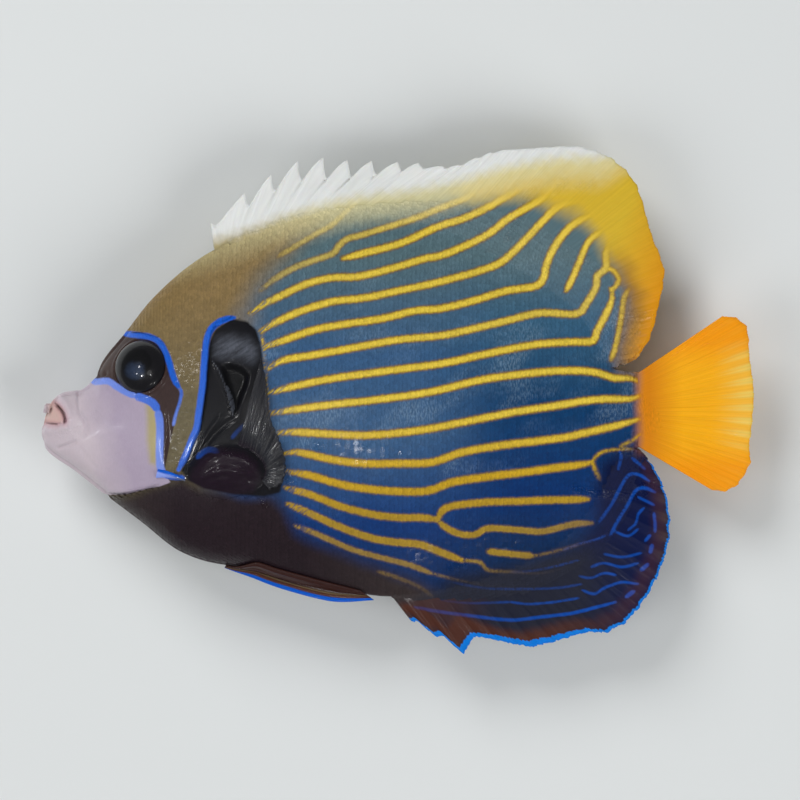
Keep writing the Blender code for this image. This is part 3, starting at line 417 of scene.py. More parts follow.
def tint(red, green, blue):
    """A screen colour from 0 to 255 as the linear colour that shaders take."""
    parts = [value / 255 for value in (red, green, blue)]
    return tuple(v / 12.92 if v < 0.04045 else ((v + 0.055) / 1.055) ** 2.4 for v in parts)


# Settings of the fish and the stage: description and default, for colours as seen on screen.
COLOURS = {
    "flank_high": ("Flank between the stripes near the back", (86, 112, 120)),
    "flank_upper": ("Flank above its middle", (56, 98, 128)),
    "flank_mid": ("Flank between the stripes at its middle", (58, 94, 134)),
    "flank_low": ("Flank between the stripes below its middle", (14, 56, 118)),
    "flank_deep": ("Flank above the anal fin", (14, 42, 88)),
    # The next colour is a painted pale sheen over parts of the flank.
    "haze": ("Pale film over parts of the flank", (150, 174, 190)),
    "rear_mid": ("Middle of the rear flank", (8, 62, 106)),
    "rear_low": ("Rear flank below its middle", (0, 48, 108)),
    "rear_deep": ("Rear flank above the anal fin", (0, 40, 84)),
    "nape": ("Olive of the nape", (138, 114, 72)),
    "cheek": ("Olive of the gill cover", (108, 98, 72)),
    "chest": ("Dark brown of chest and throat", (38, 27, 33)),
    "belly": ("Brown edge of the belly", (60, 51, 50)),
    "stripe": ("Yellow of the stripes", (236, 205, 72)),
    "stripe_low": ("Orange yellow of the lower stripes", (208, 166, 34)),
    "stripe_rim": ("Orange yellow at the stripes' edges", (172, 138, 44)),
    "stripe_edge": ("Brown seam along each stripe", (120, 92, 56)),
    "fringe": ("White edge of the dorsal fin", (228, 230, 228)),
    "fringe_base": ("Pale yellow below the white edge", (222, 213, 162)),
    "gold": ("Yellow of the soft dorsal fin", (216, 181, 50)),
    "orange": ("Orange rear edge of the dorsal fin", (222, 148, 14)),
    "tail": ("Orange yellow of the tail fin", (252, 178, 20)),
    "bronze": ("Bronze between flank and dorsal edge", (148, 108, 48)),
    "tail_lobe": ("Orange of the tail's upper and lower lobes", (250, 154, 8)),
    "tail_base": ("Deeper orange of the tail's root", (220, 134, 14)),
    "tail_light": ("Light rays near the tail's edge", (240, 208, 104)),
    "mask": ("Brown black round the eye", (56, 40, 38)),
    "mask_light": ("Lighter brown of the forehead in the mask", (82, 70, 66)),
    "face": ("Lilac grey of the snout and cheek", (172, 158, 178)),
    "face_pale": ("Pale grey pink of the lips", (200, 187, 195)),
    "pink": ("Pink in the folds of the mouth", (205, 150, 158)),
    "tooth": ("Peach of the bristle teeth", (206, 176, 168)),
    "line": ("Azure of the blue lines", (0, 90, 204)),
    "line_pale": ("Periwinkle of the pale blue lines", (138, 160, 236)),
    "olive": ("Yellow olive inside the cheek line", (170, 157, 112)),
    "band": ("Black behind the gill cover", (15, 15, 20)),
    "sheen": ("Grey sheen on the black band", (84, 88, 98)),
    "lobe": ("Purple brown of the pectoral lobe", (28, 15, 28)),
    "anal": ("Grey brown of the anal fin", (31, 34, 50)),
    "anal_deep": ("Navy of the anal fin's rear", (6, 18, 62)),
    "rust": ("Rust brown band near the anal edge", (84, 46, 32)),
    "azure": ("Azure edge of the anal fin", (12, 122, 220)),
    "pectoral": ("Smoky grey of the pectoral fin", (40, 41, 47)),
    "pectoral_ray": ("Light streaks of the pectoral rays", (86, 85, 84)),
    "pelvic": ("Dark brown of the pelvic fin", (56, 30, 26)),
    "iris": ("Dark grey of the iris", (18, 17, 21)),
    "iris_ring": ("Olive ring at the edge of the iris", (62, 55, 42)),
    "pupil": ("Black of the pupil", (7, 7, 10)),
    # The lens colour is a painted bluish glow on the pupil.
    "lens": ("Bluish glow of the lens", (48, 62, 88)),
    "floor": ("Pale floor", (226, 229, 229)),
}


LENGTHS = {
    "coat_depth": ("How far the skin lies inside the solids", 0.00015),
    "scale_length": ("Shown length of a flank scale along the body", 0.00092),
    "scale_width": ("Spacing of the flank scales across the body", 0.00098),
    "scale_lift": ("Height of a scale's free edge over the skin", 0.00011),
    "scale_thickness": ("Thickness of a scale at its free edge", 0.00005),
    "membrane": ("Thickness of the fins' skin between rays", 0.00022),
    "ray_height": ("Height of a soft ray over the fin's skin", 0.00013),
    "spine_height": ("Height of a spine over the fin's skin", 0.00030),
}
SHARES = {
    "head_share": ("Size of the head's scales beside the flank's", 0.72),
    "wetness": ("Strength of the clear wet layer over skin and fins", 0.35),
}
STAGE_LENGTHS = {
    "floor_size": ("Width of the floor", 6.0),
    "camera_height": ("Camera's height over the fish's middle plane", 1.6),
}
POWERS = {
    "key_power": ("Power of the large soft light in watts", 8.6),
    "fill_power": ("Power of the soft light opposite in watts", 9.4),
    "sheen_power": ("Power of the soft light near the camera in watts", 0.22),
    "glint_power": ("Power of a small light in watts", 0.8),
    "sky_strength": ("Brightness of the even surround", 0.16),
}


def settings(table, kind=bpy.props.FloatProperty, **more):
    """Properties of one kind from a table of descriptions and defaults."""
    return {key: kind(name=key.replace("_", " ").title(), description=text, default=value,
                      **more) for key, (text, value) in table.items()}


class FishColours(bpy.types.PropertyGroup):
    """Colours of the fish's markings."""

    __annotations__ = settings({key: (text, tint(*screen))
                                for key, (text, screen) in COLOURS.items()},
                               bpy.props.FloatVectorProperty, size=3, subtype="COLOR",
                               min=0, max=1)


class FishSizes(bpy.types.PropertyGroup):
    """Sizes of the coat, the fins and the eyes."""

    __annotations__ = {**settings(LENGTHS, unit="LENGTH"),
                       **settings(SHARES, subtype="FACTOR", min=0, max=1)}


class FishStage(bpy.types.PropertyGroup):
    """Floor, lights and camera."""

    __annotations__ = {**settings(STAGE_LENGTHS, unit="LENGTH"), **settings(POWERS)}


def sizes(name):
    """A size of the fish in millimetres."""
    return getattr(bpy.context.scene.fish_sizes, name) / UNIT


def colour(name):
    """A colour of the fish with its alpha."""
    return (*getattr(bpy.context.scene.fish_colours, name), 1.0)


def smooth(points):
    """y(x) over arrays: a smooth curve through the points that never swings past them."""
    xs, ys = np.array(points, float).T
    steps = np.diff(xs)
    rises = np.diff(ys) / steps
    same = rises[:-1] * rises[1:] > 0
    total = np.where(same, rises[:-1] + rises[1:], 1.0)
    inner = np.where(same, 2 * rises[:-1] * rises[1:] / total, 0.0)
    slopes = np.concatenate([rises[:1], inner, rises[-1:]])

    def value(x):
        x = np.clip(x, xs[0], xs[-1])
        i = np.clip(np.searchsorted(xs, x, side="right") - 1, 0, len(steps) - 1)
        t = (x - xs[i]) / steps[i]
        start = ys[i] * (1 + 2 * t) + slopes[i] * steps[i] * t
        end = ys[i + 1] * (3 - 2 * t) - slopes[i + 1] * steps[i] * (1 - t)
        return start * (1 - t) ** 2 + end * t ** 2

    return value


def spread(points, count, fine=16):
    """count points evenly spaced along a smooth open curve through the points."""
    line = np.array(points, float)
    ends = np.vstack([2 * line[0] - line[1], line, 2 * line[-1] - line[-2]])
    dense = []
    t = (np.arange(fine) / fine)[:, None]
    for i in range(len(line) - 1):
        a, b, c, d = ends[i:i + 4]
        dense.append(0.5 * (2 * b + (c - a) * t + (2 * a - 5 * b + 4 * c - d) * t * t
                            + (3 * b - a - 3 * c + d) * t ** 3))
    dense.append(line[-1:])
    return pace(np.vstack(dense), count)


def lengths_along(line):
    """How far along a polyline each of its corners lies."""
    return np.concatenate([[0], np.cumsum(np.linalg.norm(np.diff(line, axis=0), axis=1))])


def unit(vectors):
    """Vectors of length 1 in the same directions."""
    return vectors / np.maximum(np.linalg.norm(vectors, axis=-1, keepdims=True), 1e-9)


def pace(dense, count):
    """count points evenly spaced along a polyline."""
    lengths = lengths_along(dense)
    goals = np.linspace(0, lengths[-1], count)
    return np.stack([np.interp(goals, lengths, dense[:, k]) for k in range(dense.shape[1])], 1)


def seen(points):
    """Pixels of the photograph's frame as millimetres of the fish's plane."""
    pixels = np.array(points, float)
    return (pixels - VIEW_CENTRE) * (PIXEL, -PIXEL)


def step(low, high, value):
    """Rise smoothly from 0 at low to 1 at high."""
    t = np.clip((value - low) / (high - low), 0, 1)
    return t * t * (3 - 2 * t)


def between(edges, value):
    """Rise from 0 to 1 over the first edge and fall back to 0 over the second."""
    return step(*edges[0], value) * (1 - step(*edges[1], value))


def bell(distance, width):
    """A smooth bump of height 1 round distance 0."""
    return np.exp(-(distance / width) ** 2)


back = smooth(BACK)
belly = smooth(BELLY)
half_width = smooth(HALF_WIDTH)
keel = smooth(KEEL)
back_power = smooth(BACK_POWER)
belly_power = smooth(BELLY_POWER)
gill_x = smooth(GILL_X)
fringe_y = smooth(seen(FRINGE))
olive_x = smooth([(y, x) for x, y in seen([(x, y) for y, x in reversed(OLIVE_REACH)])])


def thickness_at(x, s):
    """Half thickness of the body at length x and height s from belly (-1) to back (+1)."""
    s = np.clip(s, -1, 1)
    lean = s + SECTION_SAG * (1 - s * s)
    power = np.where(lean > 0, back_power(x), belly_power(x))
    swell = np.maximum(0, 1 - np.abs(lean) ** SECTION_POWER) ** power
    return keel(x) + (half_width(x) - keel(x)) * swell


def share_at(x, y):
    """Height of a point from belly (-1) to back (+1)."""
    return (2 * y - back(x) - belly(x)) / (back(x) - belly(x))


def flank(x, y, side, rise=0.0):
    """Points over the left (1) or right (-1) flank in millimetres, rise above the solid."""
    z = side * (thickness_at(x, share_at(x, y)) + rise)
    return np.stack(np.broadcast_arrays(x, y, z), -1)


def flank_normal(x, y, side, reach=1.2):
    """Outward directions of a flank."""
    across = [thickness_at(x + a, share_at(x + a, y)) for a in (reach, -reach)]
    up = [thickness_at(x, share_at(x, y + a)) for a in (reach, -reach)]
    slope_x = (across[0] - across[1]) / (2 * reach)
    slope_y = (up[0] - up[1]) / (2 * reach)
    normal = np.stack(np.broadcast_arrays(-slope_x, -slope_y, np.ones_like(slope_x) * side), -1)
    normal[..., 2] = side
    return unit(normal)


def eye_frame(side):
    """Centre and outward direction of an eye, in millimetres."""
    x, y = EYE_CENTRE
    out = flank_normal(np.array(x), np.array(y), side, reach=1.5)
    return flank(np.array(x), np.array(y), side) - out * EYE_SINK, out


def frame_shift():
    """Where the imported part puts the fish's own middle, in millimetres."""
    low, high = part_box("eye_left")
    centre, _ = eye_frame(1)
    return np.array([(low.x + high.x) / 2 / UNIT - centre[0],
                     (low.y + high.y) / 2 / UNIT - centre[1]])


SHIFT = frame_shift()


def place(points):
    """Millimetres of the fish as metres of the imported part."""
    moved = np.array(points, float)
    moved[..., 0] += SHIFT[0]
    moved[..., 1] += SHIFT[1]
    moved[..., 2] += MIDDLE
    return moved * UNIT


def to_segment(spots, a, b):
    """Distance of each spot to a straight piece, and how far along it the nearest place is."""
    run = b - a
    t = np.clip(((spots - a) @ run) / (run @ run), 0, 1)
    return np.linalg.norm(spots - a - t[:, None] * run, axis=1), t


def to_path(points, xy, reach=4.0):
    """Distance and share along of each place to a smooth path; far places get reach."""
    path = np.array(points, float)
    path = spread(path, max(3, int(lengths_along(path)[-1]) + 2))
    distance = np.full(len(xy), float(reach))
    along = np.zeros(len(xy))
    near = np.all((xy > path.min(0) - reach) & (xy < path.max(0) + reach), axis=1)
    pick = np.flatnonzero(near)
    spots = xy[pick]
    best = np.full(len(pick), float(reach))
    share = np.zeros(len(pick))
    for k, (a, b) in enumerate(zip(path, path[1:])):
        gap, t = to_segment(spots, a, b)
        closer = gap < best
        best = np.where(closer, gap, best)
        share = np.where(closer, (k + t) / (len(path) - 1), share)
    distance[pick] = best
    along[pick] = share
    return distance, along


def inside(outline, xy):
    """Signed distance to a closed outline in millimetres, positive inside."""
    shape = seen(outline)
    closed = np.vstack([shape, shape[:1]])
    edge = np.full(len(xy), 99.0)
    within = np.zeros(len(xy), bool)
    for a, b in zip(closed, closed[1:]):
        run = b - a
        edge = np.minimum(edge, to_segment(xy, a, b)[0])
        crosses = (a[1] > xy[:, 1]) != (b[1] > xy[:, 1])
        height = run[1] or 1.0
        at = a[0] + (xy[:, 1] - a[1]) * run[0] / height
        within ^= crosses & (xy[:, 0] < at)
    return np.where(within, edge, -edge)


def drawn(lines, xy, share=1.0):
    """Distance inside the nearest drawn line, positive on it, and its strength there."""
    depth = np.full(len(xy), -4.0)
    strength = np.zeros(len(xy))
    for points, width, first, last in lines:
        distance, along = to_path(seen(points), xy)
        taper = 1 - 0.4 * bell(along, 0.04) - 0.4 * bell(along - 1, 0.04)
        here = share * width * PIXEL / 2 * taper
        closer = here - distance > depth
        depth = np.where(closer, here - distance, depth)
        strength = np.where(closer, first + (last - first) * along, strength)
    return depth, strength


def markings(xy):
    """Named values of the coat's pattern at places of the fish's plane, in millimetres."""
    stripe, stripe_strength = drawn(STRIPES, xy, STRIPE_SHARE)
    blue, paleness = drawn(HEAD_LINES, xy, LINE_SHARE)
    fin_blue, fin_paleness = drawn(FIN_LINES, xy, FIN_LINE_SHARE)
    paleness = np.where(fin_blue > blue, fin_paleness, paleness)
    blue = np.maximum(blue, fin_blue)
    painted_edge_highlight, _ = drawn(PAINTED_EDGE_HIGHLIGHTS, xy)
    gape_and_shade, _ = drawn(GAPES_WITH_SHADE, xy)
    wet, wet_strength = drawn(WET_PLACES, xy)
    x, y = xy.T
    return {
        "stripe": stripe,
        "stripe_strength": stripe_strength,
        "blue": blue,
        "paleness": paleness,
        "painted_edge_highlight": painted_edge_highlight,
        "gape_and_shade": gape_and_shade,
        "wet": step(-0.7, 0.5, wet) * wet_strength,
        **{key: inside(outline, xy) for key, outline in ZONES.items()},
        "fringe": y - fringe_y(x),
        "nape": olive_x(y) - x,
    }


def swell(x, y):
    """Height of the pectoral fin's fleshy lobe over the flank."""
    wide, tall, high = LOBE_RADII
    ball = 1 - ((x - LOBE_CENTRE[0]) / wide) ** 2 - ((y - LOBE_CENTRE[1]) / tall) ** 2
    return high * np.maximum(ball, 0) ** LOBE_POWER


def relief(x, y, side):
    """Height of the skin's folds, rims and hollows over the smooth body, in millimetres."""
    xy = np.stack([x, y], 1)
    rise = np.full(len(x), -sizes("coat_depth"))
    for points, height, width in FOLDS:
        distance, along = to_path(seen(points), xy)
        fade = step(0, 0.12, along) * (1 - step(0.88, 1, along)) * 0.8 + 0.2
        rise += height * fade * bell(distance, width)
    for spot in seen(NOSTRILS):
        radius, depth = NOSTRIL_SIZE
        rise -= depth * bell(np.linalg.norm(xy - spot, axis=1), radius)
    off = x - gill_x(y)
    reach = between(GILL_ENDS, y)
    rise += reach * GILL_RISE * between(GILL_RISE_X, off)
    rise -= reach * GILL_DROP * between(GILL_DROP_X, off)
    rise -= HOLLOW_DEPTH * step(*HOLLOW_EDGE, inside(ZONES["hollow"], xy))
    rise += swell(x, y)
    centre, out = eye_frame(side)
    offset = flank(x, y, side) - centre
    outwards = offset @ out
    radial = np.linalg.norm(offset - outwards[:, None] * out, axis=1)
    radial = np.where(outwards > -4, radial, 99)
    rise -= SOCKET_DEPTH * (1 - step(*SOCKET_EDGE, radial))
    rise += RIM_HEIGHT * bell(radial - RIM_RADIUS, RIM_WIDTH)
    return rise


def floor_level(x, y):
    """Lowest height of skin over the floor: 0, or over the pectoral fin pressed under it."""
    outline = np.vstack([spread(PECTORAL_MARGIN, 24), [LOBE_CENTRE]])
    pixels = outline / (PIXEL, -PIXEL) + VIEW_CENTRE
    return 0.02 + 1.0 * step(-1.2, -0.4, inside(pixels, np.stack([x, y], 1)))


def rest(points):
    """Flatten what would reach below the floor."""
    low = -MIDDLE + floor_level(points[:, 0], points[:, 1])
    points[:, 2] = np.maximum(points[:, 2], low)
    return points


def let_go():
    """Deselect everything."""
    for thing in bpy.context.selected_objects:
        thing.select_set(False)


def start_edit():
    """Edit the active mesh, with all of it selected."""
    bpy.ops.object.mode_set(mode="EDIT")
    bpy.ops.mesh.select_all(action="SELECT")


def end_edit():
    """Turn all faces of the active mesh outwards and leave its edit mode."""
    bpy.ops.mesh.select_all(action="SELECT")
    bpy.ops.mesh.normals_make_consistent(inside=False)
    bpy.ops.object.mode_set(mode="OBJECT")


def taken_apart():
    """Corner places and faces of the active object, which is then removed."""
    plate = bpy.context.active_object
    spots = np.array([vertex.co for vertex in plate.data.vertices])
    faces = [tuple(face.vertices) for face in plate.data.polygons]
    bpy.data.objects.remove(plate)
    return spots, faces


def brought(name, mesh):
    """A finished mesh as the scene's only selected, active object."""
    piece = bpy.data.objects.new(name, mesh)
    bpy.context.scene.collection.objects.link(piece)
    let_go()
    piece.select_set(True)
    bpy.context.view_layer.objects.active = piece
    return piece


def woven(name, grid, values=None):
    """Shape a grid primitive to rows and columns of places, in metres, and weld its seams."""
    let_go()
    rows, columns = grid.shape[:2]
    bpy.ops.mesh.primitive_grid_add(x_subdivisions=rows - 1, y_subdivisions=columns - 1, size=2)
    piece = bpy.context.active_object
    piece.name = piece.data.name = name
    flat = corners(piece)
    i = np.rint((flat[:, 0] + 1) / 2 * (rows - 1)).astype(int)
    j = np.rint((flat[:, 1] + 1) / 2 * (columns - 1)).astype(int)
    piece.data.vertices.foreach_set("co", grid[i, j].ravel())
    note(piece, {key: value[i, j] for key, value in (values or {}).items()})
    start_edit()
    bpy.ops.mesh.remove_doubles(threshold=WELD)
    end_edit()
    bpy.ops.object.shade_smooth()
    return piece


def corners(piece):
    """A piece's vertices as its mesh has them."""
    flat = np.empty(len(piece.data.vertices) * 3)
    piece.data.vertices.foreach_get("co", flat)
    return flat.reshape(-1, 3)


def vertex_places(piece):
    """A piece's vertices as millimetres of the fish."""
    spots = corners(piece) / UNIT
    spots[:, :2] -= SHIFT
    spots[:, 2] -= MIDDLE
    return spots


def note(piece, values):
    """Store named values on a piece's vertices."""
    for key, value in values.items():
        attribute = piece.data.attributes.new(key, "FLOAT", "POINT")
        attribute.data.foreach_set("value", np.ascontiguousarray(value, np.float32))


def settle(piece, nodes, material):
    """Hand a finished piece to the frame: its body, solids and material."""
    piece.data.materials.clear()
    piece.data.materials.append(material)
    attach(piece, "root")
    if nodes:
        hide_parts(*nodes)


class Value:
    """A number that varies over a surface, with its arithmetic."""

    def __init__(self, paint, socket):
        self.paint = paint
        self.socket = socket

    def combine(self, operation, first, second):
        """Add the Math node of one operation."""
        made = self.paint.node("ShaderNodeMath", {"operation": operation},
                               {0: first, 1: second})
        return Value(self.paint, made.outputs[0])

    def __add__(self, other):
        return self.combine("ADD", self, other)

    def __sub__(self, other):
        return self.combine("SUBTRACT", self, other)

    def __rsub__(self, other):
        return self.combine("SUBTRACT", other, self)

    def __mul__(self, other):
        return self.combine("MULTIPLY", self, other)

    def __truediv__(self, other):
        return self.combine("DIVIDE", self, other)

    def least(self, other):
        """The smaller of two numbers."""
        return self.combine("MINIMUM", self, other)

    def most(self, other):
        """The larger of two numbers."""
        return self.combine("MAXIMUM", self, other)

    def step(self, low, high):
        """Rise smoothly from 0 at low to 1 at high."""
        made = self.paint.node("ShaderNodeMapRange", {"interpolation_type": "SMOOTHSTEP"},
                               {"Value": self, "From Min": low, "From Max": high})
        return Value(self.paint, made.outputs[0])

    def bell(self, width):
        """A bump round 0 that ends at width on both sides."""
        size = self.combine("ABSOLUTE", self, 0.0)
        return 1.0 - size.step(0.0, width)

    __radd__ = __add__
    __rmul__ = __mul__


class Paint:
    """A material in the making: a Principled surface and the nodes that colour it."""

    def __init__(self, name):
        self.material = bpy.data.materials.new(name)
        self.material.use_nodes = True
        self.tree = self.material.node_tree
        self.surface = self.tree.nodes["Principled BSDF"]
        place_node = self.node("ShaderNodeTexCoord")
        self.place = place_node.outputs["Object"]
        parts = self.node("ShaderNodeSeparateXYZ", sockets={0: self.place})
        self.x = Value(self, parts.outputs[0]) / UNIT - SHIFT[0]
        self.y = Value(self, parts.outputs[1]) / UNIT - SHIFT[1]

    def node(self, kind, settings=None, sockets=None):
        """Add a node: its settings first, then a value or a link for each socket."""
        made = self.tree.nodes.new(kind)
        for key, value in (settings or {}).items():
            setattr(made, key, value)
        for key, value in (sockets or {}).items():
            value = value.socket if isinstance(value, Value) else value
            value = colour(value) if isinstance(value, str) else value
            if isinstance(value, bpy.types.NodeSocket):
                self.tree.links.new(value, made.inputs[key])
            else:
                made.inputs[key].default_value = value
        return made

    def read(self, name):
        """A named value of the mesh."""
        made = self.node("ShaderNodeAttribute", {"attribute_name": name})
        return Value(self, made.outputs["Fac"])

    def mix(self, share, first, second):
        """Colour between two colours, each a socket or one of the fish's colours by name."""
        made = self.node("ShaderNodeMix", {"data_type": "RGBA"},
                         {0: share, 6: first, 7: second})
        return made.outputs[2]

    def shade(self, base, amount):
        """A colour made lighter or darker by a factor that varies."""
        base = colour(base)[:3] if isinstance(base, str) else base
        made = self.node("ShaderNodeVectorMath", {"operation": "SCALE"},
                         {0: base, "Scale": amount})
        return made.outputs[0]

    def ramp(self, value, stops):
        """Colour along a number: stops are (number, name of a colour)."""
        first, last = stops[0][0], stops[-1][0]
        made = self.node("ShaderNodeMapRange", None,
                         {"Value": value, "From Min": first, "From Max": last})
        band = self.node("ShaderNodeValToRGB", None, {0: made.outputs[0]})
        elements = band.color_ramp.elements
        while len(elements) < len(stops):
            elements.new(1.0)
        for element, (number, shown) in zip(elements, stops):
            element.position = (number - first) / (last - first)
            element.color = colour(shown)
        return band.outputs[0]

    def noise(self, scale, detail=2.0, vector=None):
        """Cloudy noise round 0.5; scale is in lumps a metre."""
        made = self.node("ShaderNodeTexNoise", None,
                         {"Vector": vector or self.place, "Scale": scale, "Detail": detail})
        return Value(self, made.outputs[0])

    def streaks(self, first, second, detail=2.0):
        """Noise over two numbers of the surface, long where a number changes slowly."""
        made = self.node("ShaderNodeCombineXYZ", None, {0: first, 1: second})
        return self.noise(1.0, detail, made.outputs[0])

    def fill(self, socket, value):
        """Give a socket of the surface a value or a number that varies."""
        if isinstance(value, Value):
            self.tree.links.new(value.socket, self.surface.inputs[socket])
        else:
            self.surface.inputs[socket].default_value = value

    def glow(self, weight, radius, scale):
        """Let some light pass under the surface."""
        self.fill("Subsurface Weight", weight)
        self.fill("Subsurface Radius", radius)
        self.fill("Subsurface Scale", scale)

    def finish(self, base, roughness, bump=None, depth=0.0, alpha=None, dry=0.0):
        """Connect the colour, roughness and relief, and set the wet layer."""
        self.tree.links.new(base, self.surface.inputs["Base Color"])
        self.fill("Roughness", roughness)
        self.fill("Coat Weight", (1.0 - dry) * bpy.context.scene.fish_sizes.wetness)
        self.fill("Coat Roughness", COAT_ROUGHNESS)
        self.fill("Coat IOR", COAT_IOR)
        self.fill("Specular IOR Level", SPECULAR_LEVEL)
        if bump is not None:
            made = self.node("ShaderNodeBump", None,
                             {"Height": bump, "Distance": depth, "Strength": 1.0})
            self.tree.links.new(made.outputs[0], self.surface.inputs["Normal"])
        if alpha is not None:
            self.fill("Alpha", alpha)
        return self.material


def flank_colour(p):
    """Blue and olive ground of the body with a painted pale sheen over parts of the flank, before
    stripes and the head's zones.
    """
    blotch = p.noise(90.0, 3.0)
    height = p.y + (blotch - 0.5) * 5.0
    front = p.ramp(height, [(-40.0, "flank_deep"), (-26.0, "flank_low"),
                            (-8.0, "flank_mid"), (10.0, "flank_mid"),
                            (30.0, "flank_high")])
    rear = p.ramp(height, [(-32.0, "rear_deep"), (-20.0, "rear_low"),
                           (0.0, "rear_mid"), (16.0, "flank_upper"),
                           (30.0, "flank_high")])
    base = p.mix((p.x + (blotch - 0.5) * 10.0).step(2.0, 26.0), front, rear)
    # A painted pale sheen over parts of the flank, in clouds of upright flecks, fading towards
    # the belly, the back and the lower rear flank.
    haze = p.streaks((p.x + p.y * 0.5) * 0.05, (p.y - p.x * 0.5) * 0.10).step(0.46, 0.72)
    haze = haze * (0.25 + flecks(p).step(0.42, 0.62) * 0.75) * (p.y + 24.0).step(-6.0, 14.0)
    haze = haze * (1.0 - (p.y - 18.0).step(0.0, 12.0) * 0.7)
    haze = haze * (1.0 - p.x.step(10.0, 30.0) * (1.0 - (p.y + 6.0).step(-4.0, 6.0)))
    base = p.mix(haze * 0.3, base, "haze")
    olive = p.ramp(p.y, [(-18.0, "cheek"), (-2.0, "cheek"),
                         (22.0, "nape")])
    mottle = p.noise(420.0, 3.0)
    olive = p.shade(olive, 0.82 + mottle * 0.36)
    near_head = (p.read("nape") + (blotch - 0.5) * 6.0).step(-7.0, 5.0)
    base = p.mix(near_head, base, olive)
    chest = p.ramp(p.x, [(-62.0, "belly"), (-46.0, "chest"),
                         (-20.0, "chest"), (8.0, "belly")])
    lower = (p.read("chest") + (blotch - 0.5) * 3.0).step(-3.0, 2.0)
    return p.mix(lower, base, chest)


def flecks(p):
    """Noise in short upright flecks."""
    return p.streaks(p.x * 3.0, p.y * 1.1)


def striped(p, base):
    """Lay the yellow stripes with their brown seams over a ground."""
    wobble = (p.noise(1500.0, 1.0) - 0.5) * 0.35
    depth = p.read("stripe") + wobble
    strength = p.read("stripe_strength")
    torn = p.streaks((p.x + p.y) * 0.35, (p.x - p.y) * 1.7)
    near = 1.0 - (p.x + p.y * 0.17 + 26.3).step(0.0, 6.0)
    strength = strength * (1.0 - near * torn.step(0.42, 0.60) * 0.8)
    seam = depth.step(-0.42, -0.05) * strength * 0.6
    base = p.mix(seam, base, "stripe_edge")
    yellow = p.ramp(p.y, [(-40.0, "stripe_rim"), (-26.0, "stripe_rim"),
                          (-16.0, "stripe_low"), (-2.0, "stripe"),
                          (30.0, "stripe")])
    yellow = p.mix(depth.step(0.05, 0.6), "stripe_rim", yellow)
    return p.mix(depth.step(-0.14, 0.24) * strength.step(-0.1, 0.9), base, yellow)


def fin_zones(p, base):
    """Gold and white of the dorsal fin, dark of the anal fin and orange of the tail."""
    blotch = p.noise(140.0, 2.0)
    gold = p.ramp(p.x - p.y * 0.4, [(0.0, "gold"), (32.0, "gold"),
                                    (46.0, "orange")])
    stem = (p.x + (blotch - 0.5) * 2.0).step(48.8, 52.2)
    tail = p.ramp(p.x, [(50.0, "tail_base"), (53.0, "tail_base"),
                        (60.0, "tail")])
    lobes = ((p.y + 1.0) * (p.y + 1.0)).step(30.0, 200.0) * p.x.step(52.0, 60.0)
    tail = p.mix(lobes * 0.85, tail, "tail_lobe")
    base = p.mix(stem, base, tail)
    inner = p.read("gold") + (blotch - 0.5) * 4.0
    bronze = (1.0 - inner.step(0.0, 5.5)) * (p.x - p.y * 0.4).step(28.0, 42.0)
    gold = p.mix(bronze, gold, "bronze")
    base = p.mix(inner.step(-3.2, 2.6), base, gold)
    fringe = p.read("fringe") + (p.noise(700.0, 1.0) - 0.5) * 1.6
    near = 0.45 + p.x.step(-36.0, -12.0) * 0.45
    base = p.mix(fringe.step(-8.5, -0.5) * near, base, "fringe_base")
    base = p.mix(fringe.step(-1.8, 2.0), base, "fringe")
    dark = p.ramp(p.x, [(4.0, "anal"), (38.0, "anal"),
                        (50.0, "anal_deep")])
    dark = p.mix((p.y + 31.5 + (blotch - 0.5) * 4.0).step(-3.0, 5.0), dark,
                 "anal_deep")
    lines = p.read("stripe").step(-0.1, 0.3) * p.read("stripe_strength").step(0.0, 0.8)
    return p.mix(p.read("anal").step(-1.5, 3.5) * (1.0 - lines * 0.45), base, dark)


def head_zones(p, base):
    """Mask, pale face, black band and their details."""
    fine = p.noise(600.0, 3.0)
    wash = p.noise(160.0, 2.0)
    combed = p.streaks((p.x + p.y * 0.6) * 0.3, (p.y - p.x * 0.6) * 1.3, 3.0)
    band = p.mix(p.read("sheen").step(-1.2, 2.2) * (combed * 1.7 - 0.15).least(1.0),
                 "band", "sheen")
    # Painted shade: the hollow behind the gill cover is darker than the band, in the pupil's
    # black.
    band = p.mix(p.read("hollow").step(-0.4, 0.5), band, "pupil")
    band = p.mix(p.read("lobe").step(-1.0, 1.0), band, "lobe")
    base = p.mix(p.read("band").step(-0.35, 0.35), base, p.shade(band, 0.7 + fine * 0.6))
    mask = p.mix((p.x + 58.0).step(-7.0, 1.0), "mask_light", "mask")
    base = p.mix(p.read("mask").step(-0.15, 0.15), base, p.shade(mask, 0.75 + fine * 0.5))
    face = p.ramp(p.x + p.y * 0.25 + (wash - 0.5) * 4.0,
                  [(-76.0, "face_pale"), (-68.0, "face_pale"),
                   (-60.0, "face"), (-50.0, "face")])
    face = p.mix(p.read("olive").step(-1.0, 0.8), face, "olive")
    face = p.mix(p.read("tooth").step(-0.7, 0.5), face, "tooth")
    face = p.mix(p.read("gape_and_shade").step(-1.4, 0.0) * 0.4, face, "pink")
    # Painted shade in the gape's middle, in the mask's brown black.
    face = p.mix(p.read("gape_and_shade").step(-0.2, 0.15) * 0.7, face, "mask")
    face = p.shade(face, 0.96 + fine * 0.08)
    base = p.mix(p.read("face").step(-0.15, 0.15), base, face)
    # Painted highlights along the flap's wet edges, in the grey of the band's sheen.
    base = p.mix(p.read("painted_edge_highlight").step(-0.15, 0.1) * 0.6, base, "sheen")
    paleness = p.read("paleness")
    blue = p.mix(paleness, "line", "line_pale")
    edge = p.read("blue") + (fine - 0.5) * 0.25
    blue = p.shade(blue, 1.0 - p.read("anal").step(-1.0, 1.0) * 0.3)
    return p.mix(edge.step(-0.25, 0.2) * (paleness + 1.0).least(1.0), base, blue)


